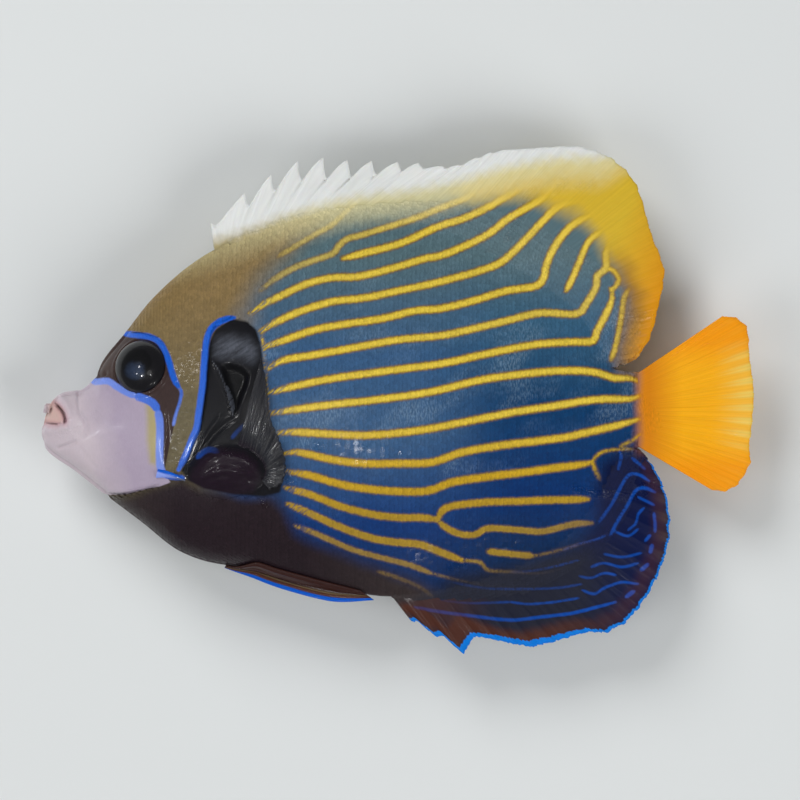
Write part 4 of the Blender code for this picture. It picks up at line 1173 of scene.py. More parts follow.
def skin_material(name, scaled):
    """Skin or scales: the whole pattern, fine grain and a wet coat."""
    p = Paint(name)
    base = head_zones(p, fin_zones(p, striped(p, flank_colour(p))))
    grain = p.noise(3000.0, 3.0)
    pale = p.read("face").step(-0.5, 0.5)
    strong = 0.5 - pale * 0.38
    light = 1.0 + (grain - 0.5) * 0.3 * strong + (flecks(p) - 0.5) * strong
    if scaled:
        # Each scale's tone, with a painted highlight on its free edge and painted shade at its
        # root.
        light = light * (0.86 + p.read("tone") * 0.28)
    base = p.shade(base, light)
    wet = p.read("wet")
    relief_height = grain * (0.7 - pale * 0.5) + p.noise(420.0, 2.0) * 0.5
    relief_height = relief_height + p.noise(2400.0, 1.0) * wet * 4.0
    p.glow(0.06, (1.0, 0.6, 0.5), 0.0008)
    dry = p.read("anal").step(-4.0, 0.0)
    rough = 0.42 - pale * 0.06 - wet * 0.32
    return p.finish(base, rough, relief_height, 0.00005, dry=dry - wet * 0.6)


def fin_material(name):
    """Dorsal, anal and tail fins: the same pattern with rays, streaks and coloured edges."""
    p = Paint(name)
    streak = p.streaks(p.read("ray") * 7.0, p.read("reach") * 1.2, 3.0)
    base = head_zones(p, fin_zones(p, striped(p, flank_colour(p))))
    margin = p.read("margin")
    in_tail = p.x.step(53.0, 57.0)
    middle = 1.0 - ((p.y - 0.5) * (p.y - 0.5)).step(30.0, 170.0)
    pale = (p.read("ridge") * 0.6 + 0.3) * (1.0 - margin.step(0.5, 9.0)) * in_tail
    base = p.mix((pale * (0.06 + middle * 0.94)).least(1.0), base, "tail_light")
    in_anal = p.read("anal").step(-1.0, 2.0)
    front = 1.0 - p.x.step(6.0, 22.0)
    rust = (margin - 2.2 - front * 2.5).bell(3.2) * in_anal
    rust = (rust + front * in_anal * 0.6).least(1.0)
    base = p.mix(rust * (0.85 - p.x.step(28.0, 48.0) * 0.5), base, "rust")
    ragged = p.read("azure") + (streak - 0.5) * 0.8
    base = p.mix(ragged.step(-0.15, 0.15), base, "azure")
    base = p.shade(base, 0.84 + streak * 0.32)
    p.glow(0.12, (1.0, 0.7, 0.4), 0.0006)
    wet = p.read("wet")
    height = streak * 0.5 + p.noise(1800.0, 2.0) * 0.4 + p.noise(2400.0, 1.0) * wet * 4.0
    return p.finish(base, 0.42 - wet * 0.34, height, 0.00005, dry=in_anal * 0.8 - wet * 0.6)


def station_places():
    """Lengths of the skin's sections, closest at the snout and along the gill cover."""
    return np.concatenate([
        np.arange(SNOUT_X, -66.0, 0.17), np.arange(-66.0, -44.6, 0.33),
        np.arange(-44.6, -39.4, 0.15), np.arange(-39.4, -20.0, 0.42),
        np.arange(-20.0, BODY_TAIL, 0.64), [BODY_TAIL]])


def skin_grid():
    """Rows of the skin: sections of the body with rounded keels, closed at both ends."""
    lengths = station_places()
    theta = np.linspace(0, math.pi / 2, SNOUT_STEPS + 1)[1:]
    snout = SNOUT_X - SNOUT_ROUND * np.sin(theta)
    stations = np.concatenate([snout[::-1], lengths])
    tall = np.concatenate([np.cos(theta)[::-1], np.ones(len(lengths))])
    past = step(BODY_END, BODY_TAIL, stations)
    wide = tall * (1 - past)
    even = np.linspace(-1, 1, SECTION_STEPS + 1)
    crowded = -np.cos(np.linspace(0, math.pi, SECTION_STEPS + 1))
    s = even + (crowded - even) * 0.35
    turn = np.linspace(0, math.pi, CAP_STEPS + 2)[1:-1]
    level = np.concatenate([s, np.ones(CAP_STEPS), s[::-1], -np.ones(CAP_STEPS)])
    side = np.concatenate([np.ones(len(s)), np.cos(turn), -np.ones(len(s)), -np.cos(turn)])
    cap = np.concatenate([np.zeros(len(s)), np.sin(turn), np.zeros(len(s)), np.sin(turn)])
    u = stations[:, None] + np.zeros(len(level))
    weight = step(-72.0, GILL_STATION, u) * (1 - step(GILL_STATION, -6.0, u))
    x = u
    for _ in range(3):
        reach = np.minimum(EDGE_ROUND, 0.3 * (back(x) - belly(x)))
        half = (back(x) - belly(x)) / 2 - reach
        middle = (back(x) + belly(x)) / 2
        y = middle + half * level + np.sign(level) * cap * reach
        x = u + weight * (gill_x(y) - GILL_STATION)
    z = thickness_at(x, level) * side
    y = middle + (y - middle) * tall[:, None] * (1 - 0.12 * past[:, None])
    grid = np.stack([x, y, z * wide[:, None]], -1)
    return grid, np.where(side >= 0, 1, -1)


def grid_normals(grid):
    """Outward directions of a ring-shaped grid whose columns wrap round."""
    along = np.gradient(grid, axis=0)
    round_ = np.roll(grid, -1, axis=1) - np.roll(grid, 1, axis=1)
    return unit(np.cross(along, round_))


def make_skin():
    """One skin for the head, the gill covers, the trunk and the tail stem."""
    grid, side = skin_grid()
    normal = grid_normals(grid)
    flat_x = grid[..., 0].ravel()
    flat_y = grid[..., 1].ravel()
    rise = np.zeros(flat_x.shape)
    sides = np.broadcast_to(side, grid.shape[:2]).ravel()
    for one in (1, -1):
        pick = sides == one
        rise[pick] = relief(flat_x[pick], flat_y[pick], one)
    rise = rise.reshape(grid.shape[:2])
    ends = step(0, 4, np.arange(len(grid)))[:, None] * step(BODY_TAIL, BODY_TAIL - 2,
                                                          grid[..., 0])
    grid = grid + normal * (rise * ends)[..., None]
    shape = grid.shape
    grid = rest(grid.reshape(-1, 3)).reshape(shape)
    grid[0] = grid[0].mean(0)
    grid[-1, :, 2] = 0.0
    closed = np.concatenate([grid, grid[:, :1]], axis=1)
    piece = woven("skin", place(closed))
    note(piece, markings(vertex_places(piece)[:, :2]))
    settle(piece, ("head", "gill_cover_left", "gill_cover_right", "torso", "tail_stem"),
           skin_material("wet_skin", False))


def one_scale():
    """Model one scale with Blender's tools: a rounded plate, free at its rear edge."""
    let_go()
    bpy.ops.mesh.primitive_circle_add(vertices=10, radius=0.5, fill_type="TRIFAN")
    plate = bpy.context.active_object
    for vertex in plate.data.vertices:
        x, y, _ = vertex.co
        vertex.co.x = x * (1.5 if x < 0 else 1.25) - 0.1
        vertex.co.y = y * (1.12 if x > -0.2 else 0.85)
        vertex.co.z = 0.12 * (1 - 4 * y * y)
    start_edit()
    bpy.ops.mesh.extrude_region_move(TRANSFORM_OT_translate={"value": (0, 0, -1)})
    end_edit()
    return taken_apart()


def scale_roots(side, head):
    """Where scales root on one side: columns across the body, every other one set over."""
    share = sizes("head_share") * UNIT if head else 1.0
    length = sizes("scale_length") * share
    width = sizes("scale_width") * share
    first, last = HEAD_COAT_X if head else FLANK_COAT_X
    roots = []
    rng = np.random.default_rng(COAT_SEED + (side > 0) + 2 * head)
    for k, x in enumerate(np.arange(first, last, length)):
        fine = np.linspace(belly(x) + 0.5, back(x) - 0.5, 400)
        line = flank(np.full(len(fine), x), fine, side)
        run = lengths_along(line)
        stops = np.arange((0.25 + 0.5 * (k % 2)) * width, run[-1], width)
        y = np.interp(stops, run, fine)
        jitter = rng.uniform(-0.08, 0.08, (len(y), 2)) * (length, width)
        roots.append(np.stack([np.full(len(y), x), y], 1) + jitter)
    return np.vstack(roots), length, width, rng


def coat_zone(xy, head):
    """Which places carry scales of the head's or the flank's size."""
    bare = np.linalg.norm(xy - EYE_CENTRE, axis=1) < BARE_ROUND_EYE
    for key, beyond in BARE_ZONES.items():
        bare |= inside(ZONES[key], xy) > -beyond
    x, y = xy.T
    off = x - gill_x(y)
    in_head = (off < -GILL_MARGIN) & (y > THROAT_Y)
    in_head |= (x < NAPE_CORNER[0]) & (y > NAPE_CORNER[1])
    in_head |= (inside(ZONES["chest"], xy) > 0) & (x < CHEST_X)
    bare |= (np.abs(off) < GILL_GAP[0]) & (np.abs(y) < GILL_GAP[1])
    return ~bare & (in_head if head else ~in_head)


def make_scales():
    """Rows of thin overlapping scales over the flanks, nape, cheeks and chest."""
    template, faces = one_scale()
    material = skin_material("wet_scales", True)
    fins = ((dorsal_lines()[:5], DORSAL_COVER), (anal_lines()[:5], ANAL_COVER))
    for word, side in SIDES:
        sets = [scale_set(side, head, template) for head in (True, False)]
        sets += [fin_scales(side, *fin, template) for fin in fins]
        spots, tone, roots = (np.concatenate([made[k] for made in sets]) for k in range(3))
        for part, pick in (("front", roots[:, 0] < COAT_SPLIT_X),
                           ("rear", roots[:, 0] >= COAT_SPLIT_X)):
            coat_piece(f"scales_{word}_{part}", spots[pick], tone[pick], roots[pick], side,
                       faces, material)


def fin_scales(side, lines, cover, template):
    """Scales over the root of a fin, on one side: cover is their reach for each ray."""
    flat, ray, part, half, wave = lines
    rng = np.random.default_rng(COAT_SEED + 9 + side)
    length, width = sizes("scale_length") * 0.85, sizes("scale_width") * 0.85
    size = np.linalg.norm(flat[:, -1] - flat[:, 0], axis=1)
    made = []
    column = np.arange(len(ray))
    for k, reach in enumerate(np.arange(0.5, 20.0, length)):
        share = np.clip(reach / size, 0, 1)
        row = np.interp(share, part, np.arange(len(part)))
        line = np.stack([[np.interp(share[i], part, flat[i, :, axis]) for i in column]
                         for axis in (0, 1)], 1)
        run = lengths_along(line)
        stops = np.arange((0.25 + 0.5 * (k % 2)) * width, run[-1], width)
        at = np.interp(stops, run, column)
        keep = reach < np.interp(np.interp(at, column, ray), *cover)
        at = at[keep] + rng.uniform(-0.2, 0.2, keep.sum())
        rows = np.interp(at, column, row)
        i, j = np.clip(at.round().astype(int), 0, len(ray) - 1), rows.round().astype(int)
        xy = np.stack([np.interp(at, column, line[:, 0]), np.interp(at, column, line[:, 1])], 1)
        z = wave[i, j] + side * (half[i, j] + 0.02)
        tail = flat[i, -1] - flat[i, 0]
        tail = unit(tail) * min(1.0, reach / 8)
        tail = np.column_stack([tail[:, 0] + 0.6, tail[:, 1], np.zeros(len(i))])
        normal = np.tile((0.0, 0.0, float(side)), (len(i), 1))
        made.append((*plates(np.column_stack([xy, z]), normal, tail, (length, width),
                             FIN_SCALE_LIFT, rng, template), xy))
    return [np.concatenate(parts) for parts in zip(*made)]


def scale_set(side, head, template):
    """Corner places, tone with painted light and shade, and roots of the body's scales of one
    size on one side.
    """
    xy, length, width, rng = scale_roots(side, head)
    s = share_at(xy[:, 0], xy[:, 1])
    keep = (np.abs(s) < 0.985) & coat_zone(xy, head)
    base = flank(xy[:, 0], xy[:, 1], side)
    keep &= base[:, 2] > -MIDDLE + 0.9
    xy = xy[keep]
    base = base[keep]
    normal = flank_normal(xy[:, 0], xy[:, 1], side, reach=0.5)
    base = base + normal * relief(xy[:, 0], xy[:, 1], side)[:, None]
    lean = 0.14 * np.sin(xy[:, 1] * 0.0375) + rng.uniform(-0.07, 0.07, len(xy))
    tail = np.stack([np.cos(lean), np.sin(lean), np.zeros(len(xy))], 1)
    lift = HEAD_SCALE_LIFT if head else 1.0
    return *plates(base, normal, tail, (length, width), lift, rng, template), xy


def plates(base, normal, tail, spacing, share, rng, template):
    """Copies of the scale on their roots: corner places, and a tone that differs at random with
    painted light and shade.
    """
    tail = unit(tail - normal * np.sum(tail * normal, axis=1, keepdims=True))
    across = np.cross(normal, tail)
    big = rng.uniform(0.92, 1.1, len(base))[:, None, None]
    lift = sizes("scale_lift")
    x, y, z = template.T
    top = z > -0.5
    slope = np.clip(x + 0.55, 0, 1.1) / 1.1
    rise = slope * lift + np.where(top, z, z + 1.0) * 0.5 * lift
    rise = rise - np.where(top, 0, sizes("scale_thickness")) - 0.02
    tilt = rng.uniform(-0.035, 0.035, (2, len(base), 1))
    rise = rise * share + tilt[0] * x + tilt[1] * y
    long, wide = np.multiply(spacing, SCALE_OVERLAP)
    spots = (base[:, None, :] + tail[:, None, :] * (x[:, None] * long * big)
             + across[:, None, :] * (y[:, None] * wide * big)
             + normal[:, None, :] * rise[..., None])
    # The tone differs at random from scale to scale, and each plate is painted lighter at its
    # free edge and darker at its root under its neighbour: painted highlight and painted shade.
    tone = 0.6 * rng.uniform(0, 1, (len(base), 1)) + 0.4 * step(-0.1, 0.45, x[None])
    return spots, tone


def coat_piece(name, spots, tone, roots, side, faces, material):
    """Join many scales in one mesh, each copied from the same plate."""
    count, corners = spots.shape[:2]
    mesh = bpy.data.meshes.new(name)
    low = -MIDDLE + 0.005
    flat = spots.reshape(-1, 3).copy()
    flat[:, 2] = np.maximum(flat[:, 2], low)
    order = np.array([len(face) for face in faces])
    loops = np.concatenate([np.array(face) for face in faces])
    shift = np.arange(count)[:, None] * corners
    all_loops = (loops[None, :] + shift).ravel()
    starts = np.concatenate([[0], np.cumsum(order)[:-1]])
    all_starts = (starts[None, :] + np.arange(count)[:, None] * len(loops)).ravel()
    mesh.vertices.add(len(flat))
    mesh.vertices.foreach_set("co", place(flat).ravel())
    mesh.loops.add(len(all_loops))
    mesh.loops.foreach_set("vertex_index", all_loops)
    mesh.polygons.add(len(all_starts))
    mesh.polygons.foreach_set("loop_start", all_starts)
    mesh.polygons.foreach_set("loop_total", np.tile(order, count))
    mesh.update(calc_edges=True)
    piece = brought(name, mesh)
    note(piece, {**markings(flat[:, :2]), "tone": tone.ravel()})
    bpy.ops.object.shade_smooth_by_angle(angle=math.radians(40))
    centre_u = (roots[:, 0] - SNOUT_X) / (BODY_TAIL - SNOUT_X)
    centre_v = 0.25 * (1 + share_at(roots[:, 0], roots[:, 1]))
    centre_v = centre_v if side > 0 else 1.0 - centre_v
    local = (spots - spots.mean(axis=1, keepdims=True))[..., :2]
    local = local / np.abs(local).max() * 0.0015
    u = (centre_u[:, None] + local[..., 0]).ravel()
    v = (centre_v[:, None] + local[..., 1]).ravel()
    layer = mesh.uv_layers.new(name="OFBake")
    layer.data.foreach_set("uv", np.stack([u, v], 1)[all_loops].ravel())
    settle(piece, (), material)


def profile_line(profile, first, last, count, away):
    """Even places along the back or the belly, set off from the skin."""
    x = np.linspace(first, last, 240)
    slope = (profile(x + 0.2) - profile(x - 0.2)) / 0.4
    normal = unit(np.stack([-slope, np.ones(len(x))], 1))
    return pace(np.stack([x, profile(x)], 1) + normal * away, count)


def fin_rim(tips, notches, fine):
    """The fin's edge at fine steps: notched behind each spine, gently scalloped on rays."""
    count = len(tips)
    rim = []
    depth = []
    for i in range(count - 1):
        f = np.arange(fine) / fine
        run = tips[i] + f[:, None] * (tips[i + 1] - tips[i])
        if i < len(notches):
            fall = np.where(f < NOTCH_PLACE, (f / NOTCH_PLACE) ** 0.8,
                            ((1 - f) / (1 - NOTCH_PLACE)) ** 1.5)
            depth.append(notches[i] * fall)
        else:
            depth.append(SCALLOP * np.sin(math.pi * f) ** 2)
        rim.append(run)
    rim.append(tips[-1:])
    depth.append(np.zeros(1))
    return np.vstack(rim), np.concatenate(depth)


def ray_profile(ray, part, spiny):
    """Height of the rays over the membrane, from 0 to 1: rays branch twice on their way."""
    off = ray - np.round(ray)
    plain = bell(off, 0.11 - 0.03 * part)
    fork = FORK_SPREAD * step(*FORK_SHARE, part)
    twig = TWIG_SPREAD * step(*TWIG_SHARE, part)
    branched = sum(bell(off - a * fork - b * twig, 0.07) for a in (-1, 1) for b in (-1, 1))
    return np.where(spiny, plain, np.minimum(branched, 1.0))


def fin_lines(roots, tips, notches, fall, root_half, rows, seed, decay=8.0, fray=0.05, fan=0.0):
    """A fin's sheet: places, ray numbers, shares along the rays, half thickness and wave."""
    rng = np.random.default_rng(seed)
    rim, depth = fin_rim(tips, notches, RAY_STEPS)
    count = len(rim)
    ray = np.arange(count) / RAY_STEPS
    base = np.stack([np.interp(ray * (len(roots) - 1) / ray[-1], np.arange(len(roots)),
                               roots[:, k]) for k in (0, 1)], 1)
    out = unit(rim - base)
    rim = rim - out * (fray * rng.standard_normal(count))[:, None]
    rim = rim - np.where((ray < len(notches))[:, None], fall, out) * depth[:, None]
    length = np.linalg.norm(rim - base, axis=1)[:, None]
    part = np.linspace(0, 1, rows) ** 0.9
    flat = base[:, None, :] + (rim - base)[:, None, :] * part[None, :, None]
    spiny = (ray <= len(notches) + 0.5 * bool(notches))[:, None] & bool(notches)
    ridge = ray_profile(ray[:, None], part[None, :], spiny)
    margin = length * (1 - part)
    sheet = sizes("membrane") / 2
    across = 1 - fan * (2 * ray[:, None] / ray[-1] - 1) ** 2
    half = sheet + (root_half * across - sheet) * np.exp(-(length * part / decay) ** 1.3)
    height = np.where(spiny, sizes("spine_height") * (1 - 0.6 * part),
                      sizes("ray_height") * (1 - 0.35 * part))
    half = half + ridge * height * step(0.15, 0.6, part)
    half = half * (0.25 + 0.75 * step(0, 0.8, margin))
    half[0] = half[-1] = 0.0
    wave = FIN_WAVE * part * np.sin(2 * math.pi * flat.sum(-1) / WAVE_LENGTH)
    wave = wave + 0.1 * part * np.sin(2 * math.pi * ray[:, None] + 0.6)
    return flat, ray, part, half, wave, margin, ridge


def make_fin(name, slot, lines, bare=()):
    """A fin in the middle plane: thin skin over spines and branched rays, closed all round."""
    flat, ray, part, half, wave, margin, ridge = lines
    front = np.dstack([flat, wave + half])
    rear = np.dstack([flat, wave - half])
    ring = {"ray": ray[:, None] + 0 * half, "reach": part + 0 * half, "margin": margin,
            "ridge": ridge}
    piece = woven(name, place(wrapped(front, rear)),
                  {key: wrapped(value, value) for key, value in ring.items()})
    x, y, _ = vertex_places(piece).T
    found = markings(np.stack([x, y], 1))
    found.update({key: found[key] * 0 - 9 for key in bare})
    edge = np.empty(len(piece.data.vertices))
    piece.data.attributes["margin"].data.foreach_get("value", edge)
    found["azure"] = (azure_width(x) if slot == "anal_fin" else -1.0) - edge
    note(piece, found)
    settle(piece, (slot,), fin_material(f"wet_{name}"))


def wrapped(front, rear):
    """Front rows, then the rear rows backwards, then the first again: a closed tube."""
    return np.concatenate([front, rear[:, ::-1], front[:, :1]], axis=1)


azure_width = smooth([(0.0, 0.8), (6.0, 1.2), (13.0, 1.6), (16.0, 1.1), (22.0, 1.7),
                      (30.0, 1.5), (40.0, 1.0), (50.0, 0.6), (60.0, 0.35)])


def fin_roots(profile, base_x, spines, rays, away):
    """Roots of a fin's spines and rays along the back or the belly."""
    start, change, end = base_x
    front = profile_line(profile, start, change, spines, away)
    return np.vstack([front, profile_line(profile, change, end, rays + 1, away)[1:]])


def spiny_lines(profile, away, base_x, spine_tips, margin, rays, **form):
    """The sheet of a fin that has spines before its soft rays."""
    roots = fin_roots(profile, base_x, len(spine_tips), rays, away)
    return fin_lines(roots, np.vstack([spine_tips, spread(margin, rays)]), root_half=1.05,
                     **form)


def dorsal_lines():
    """The dorsal fin's sheet."""
    return spiny_lines(back, -FIN_ROOT_DEPTH, DORSAL_BASE_X, SPINE_TIPS, DORSAL_MARGIN,
                       DORSAL_RAYS, notches=SPINE_NOTCHES, fall=(0.1, 1.0), rows=54, seed=2)


def anal_lines():
    """The anal fin's sheet."""
    return spiny_lines(belly, FIN_ROOT_DEPTH, ANAL_BASE_X, ANAL_SPINE_TIPS, ANAL_MARGIN,
                       ANAL_RAYS, notches=ANAL_NOTCHES, fall=(0.0, -1.0), rows=46, seed=3,
                       fray=0.12)


def make_dorsal():
    """The dorsal fin: fourteen spines with white flags, then soft branched rays."""
    make_fin("dorsal_rays", "dorsal_fin", dorsal_lines())


def make_anal():
    """The anal fin: three spines, then soft rays up to the tail stem."""
    make_fin("anal_rays", "anal_fin", anal_lines(), ("gold", "fringe"))


def make_tail():
    """The tail fin: a fan of branched rays."""
    top, bottom = TAIL_ROOT
    roots = np.array([(TAIL_ROOT_X, top), (TAIL_ROOT_X, bottom)])
    make_fin("tail_rays", "tail_fin",
             fin_lines(roots, spread(TAIL_MARGIN, TAIL_RAYS), (), (0.0, 1.0), 1.9, 54, seed=4,
                       decay=12.0, fan=0.35), ("anal", "gold", "fringe", "stripe"))


def lay_fin(name, grid, ray, part, ridge, sheet, relief_share, material):
    """Close a fin that lies on the flank: its outer and inner faces round one sheet."""
    normal = unit(np.cross(np.gradient(grid, axis=0), np.gradient(grid, axis=1)))
    half = sheet / 2 + ridge * sizes("ray_height") * relief_share
    half = half * step(0, 0.06, 1 - part)[None, :] + 0.02
    half[0] = half[-1] = 0.0
    outer = grid + normal * half[..., None]
    inner = grid - normal * (half * 0.8)[..., None]
    closed = wrapped(outer, inner)
    values = {key: wrapped(value, value) for key, value in
              (("ray", ray[:, None] + 0 * half), ("reach", part + 0 * half), ("ridge", ridge))}
    flat = closed.reshape(-1, 3)
    flat[:, 2] = np.maximum(flat[:, 2], -MIDDLE + 0.03)
    piece = woven(name, place(closed), values)
    settle(piece, (name.replace("rays_", "fin_"),), material)


def pectoral_material():
    """Smoky see-through skin with light streaks along the rays."""
    p = Paint("wet_pectoral")
    reach = p.read("reach")
    streak = p.streaks(p.read("ray") * 1.4, reach * 1.2, 3.0)
    ridge = p.read("ridge")
    light = (ridge * 0.25 + streak.step(0.42, 0.75) * 0.7) * (1.0 - reach.step(0.6, 1.0) * 0.4)
    base = p.mix(light.least(1.0) * 0.6, "pectoral", "pectoral_ray")
    base = p.mix(1.0 - reach.step(0.0, 0.25), base, "lobe")
    alpha = (0.88 + ridge * 0.15 - reach.step(0.35, 1.0) * 0.38).least(1.0)
    return p.finish(base, 0.3, streak + ridge * 0.5, 0.00006, alpha=alpha)


def make_pectorals():
    """The pectoral fins, folded back along the flanks; the right one is pressed flat."""
    material = pectoral_material()
    count = (PECTORAL_RAYS - 1) * LAID_RAY_STEPS + 1
    ray = np.arange(count) / LAID_RAY_STEPS
    first, last = np.radians(PECTORAL_ARC)
    angle = first + (last - first) * np.linspace(0, 1, count)
    wide, tall, _ = LOBE_RADII
    roots = np.stack([LOBE_CENTRE[0] + 1.0 + 0.72 * wide * np.cos(angle),
                      LOBE_CENTRE[1] + 0.72 * tall * np.sin(angle)], 1)
    tips = spread(PECTORAL_MARGIN, count)
    tips = tips - unit(tips - roots) * (0.22 * np.sin(math.pi * ray) ** 2)[:, None]
    part = np.linspace(0, 1, 34)
    flat = roots[:, None, :] + (tips - roots)[:, None, :] * part[None, :, None]
    ridge = ray_profile(ray[:, None], part[None, :], np.zeros((count, 1), bool))
    fold = 0.16 * np.sin(ray[:, None] * 1.7) * part[None, :]
    rise = -0.5 + 0.8 * step(0, 0.3, part[None, :]) + 0.95 * part[None, :] + fold
    rise = rise + swell(flat[..., 0], flat[..., 1])
    left = flank(flat[..., 0], flat[..., 1], 1, rise)
    lay_fin("pectoral_rays_left", left, ray, part, ridge, 0.22, 0.25,
            material)
    right = np.dstack([flat, -MIDDLE + 0.35 + 0.1 * fold + np.zeros(flat.shape[:2])])
    lay_fin("pectoral_rays_right", right, ray[::-1], part, ridge, 0.22,
            0.45, material)


def pelvic_material():
    """Dark brown skin with a rust middle and a blue leading edge."""
    p = Paint("wet_pelvic")
    ray = p.read("ray")
    streak = p.streaks(ray * 4.0, p.read("reach") * 3.0, 3.0)
    low_edge = ray + (streak - 0.5) * 0.6
    base = p.mix(low_edge.step(1.2, 2.6), "rust", "pelvic")
    base = p.mix((low_edge - 2.1).bell(0.3) * 0.35, base, "olive")
    base = p.mix(low_edge.step(0.95, 1.2), "line", base)
    base = p.shade(base, 0.7 + streak * 0.5)
    return p.finish(base, 0.34, streak + p.read("ridge") * 0.5, 0.00006)


def make_pelvics():
    """The pelvic fins, folded back along the keel of the belly."""
    material = pelvic_material()
    rows = 72
    count = (PELVIC_RAYS - 1) * LAID_RAY_STEPS + 1
    ray = np.arange(count) / LAID_RAY_STEPS
    part = np.linspace(0, 1, rows)
    low = spread(PELVIC_LOW, rows)
    high = spread(PELVIC_HIGH, rows)
    share = (ray / (PELVIC_RAYS - 1))[:, None, None]
    taper = (0.25 + 0.75 * step(0, 0.22, part))[None, :, None]
    flat = low[None] + (high - low)[None] * share * taper
    ridge = bell(ray[:, None] - np.round(ray[:, None]), 0.16) * np.ones((1, rows))
    for word, side in SIDES:
        rise = 0.42 + 0.5 * (1 - part[None, :]) * np.sin(math.pi * share[..., 0])
        rise = rise + np.zeros((count, rows))
        grid = flank(flat[..., 0], flat[..., 1], side, rise)
        lay_fin(f"pelvic_rays_{word}", grid, ray, part, ridge, 0.4, 1.0,
                material)


def eye_material():
    """Dark eye: pupil with a painted bluish glow over the lens, iris and a thin olive ring, under
    a wet cornea.
    """
    p = Paint("wet_eye")
    radial = p.read("radial")
    across = p.read("across")
    up = p.read("up")
    grain = p.noise(900.0, 3.0)
    rim = (radial - 5.45).bell(0.35) * (0.35 - across * 0.15 + up * 0.06).most(0.0).least(1.0)
    iris = p.mix(rim, p.shade("iris", 0.7 + grain * 0.6), "iris_ring")
    # A painted bluish glow on the pupil, a little in front of and below its middle, broken up by
    # noise.
    glow_x = across + 1.1
    glow_y = up + 0.9
    cloud = p.noise(900.0, 3.0)
    glow = 1.0 - (glow_x * glow_x + glow_y * glow_y + (cloud - 0.5) * 5.0).step(-1.0, 7.0)
    pupil = p.mix(glow * 0.7, "pupil", "lens")
    base = p.mix(radial.step(3.1, 3.7), pupil, iris)
    made = p.finish(base, 0.3, grain, 0.00001)
    p.fill("Coat Weight", 1.0)
    p.fill("Coat Roughness", 0.02)
    return made


def make_eyes():
    """Two glossy eyes, each facing straight out of its side of the head."""
    material = eye_material()
    for word, side in SIDES:
        centre, out = eye_frame(side)
        let_go()
        bpy.ops.mesh.primitive_uv_sphere_add(segments=EYE_SEGMENTS,
                                             ring_count=EYE_SEGMENTS // 2, radius=1)
        ball = bpy.context.active_object
        ball.name = ball.data.name = f"eyeball_{word}"
        shape = np.array([vertex.co for vertex in ball.data.vertices])
        facing = Vector(out).to_track_quat("Z", "Y").to_matrix().to_4x4()
        spot = Vector(place(centre[None])[0])
        size = Matrix.Diagonal((EYE_RADIUS * UNIT, EYE_RADIUS * UNIT, EYE_HALF_DEPTH * UNIT, 1))
        ball.data.transform(Matrix.Translation(spot) @ facing @ size)
        bpy.ops.object.shade_smooth()
        offset = vertex_places(ball) - centre
        note(ball, {"radial": np.linalg.norm(shape[:, :2], axis=1) * EYE_RADIUS
                    + np.where(shape[:, 2] < 0, BEHIND_IRIS, 0.0),
                    "across": offset[:, 0], "up": offset[:, 1]})
        settle(ball, (f"eye_{word}",), material)


def bone_material():
    """Blue-grey of the cheek spine, lighter at its tip."""
    p = Paint("wet_bone")
    grain = p.noise(900.0, 2.0)
    base = p.mix((p.x + 47.0).step(-2.0, 2.4), "line_pale", "sheen")
    blue = p.mix((p.y + 16.0 + (p.x + 47.6) * 0.28).step(-0.1, 0.35), base, "line")
    return p.finish(p.shade(blue, 0.8 + grain * 0.4), 0.3, grain, 0.00003)


def make_cheek_spines():
    """The strong spine at the corner of each cheek."""
    material = bone_material()
    for word, side in SIDES:
        let_go()
        bpy.ops.mesh.primitive_cone_add(vertices=20, radius1=1.0, radius2=0.18, depth=2)
        spike = bpy.context.active_object
        spike.name = spike.data.name = f"cheek_spine_{word}"
        start_edit()
        bpy.ops.mesh.bisect(plane_co=(0, 0, 0.4), plane_no=(0, 0, 1))
        bpy.ops.mesh.select_all(action="SELECT")
        bpy.ops.mesh.bisect(plane_co=(0, 0, -0.3), plane_no=(0, 0, 1))
        bpy.ops.object.mode_set(mode="OBJECT")
        shape = np.array([vertex.co for vertex in spike.data.vertices])
        share = (shape[:, 2] + 1) / 2
        run = np.subtract(CHEEK_SPINE_TIP, CHEEK_SPINE_ROOT)
        path = CHEEK_SPINE_ROOT + share[:, None] * run
        path[:, 1] += CHEEK_SPINE_BOW * np.sin(math.pi * share)
        centre = flank(path[:, 0], path[:, 1], side, -0.35 + 0.75 * share)
        normal = flank_normal(path[:, 0], path[:, 1], side)
        across = np.cross(normal, unit(np.append(run, 0.0)))
        wide, high = CHEEK_SPINE_RADII
        spots = centre + across * shape[:, :1] * wide + normal * shape[:, 1:2] * high
        spike.data.vertices.foreach_set("co", place(spots).ravel())
        start_edit()
        end_edit()
        bpy.ops.object.shade_smooth_by_angle(angle=math.radians(60))
        settle(spike, (), material)


def tooth_material():
    """Peach bristles, paler at their tips."""
    p = Paint("wet_teeth")
    grain = p.noise(1500.0, 2.0)
    base = p.mix((p.x + 74.0).step(-1.0, 1.5), "face_pale", "tooth")
    return p.finish(p.shade(base, 0.8 + grain * 0.4), 0.35, grain, 0.00002)


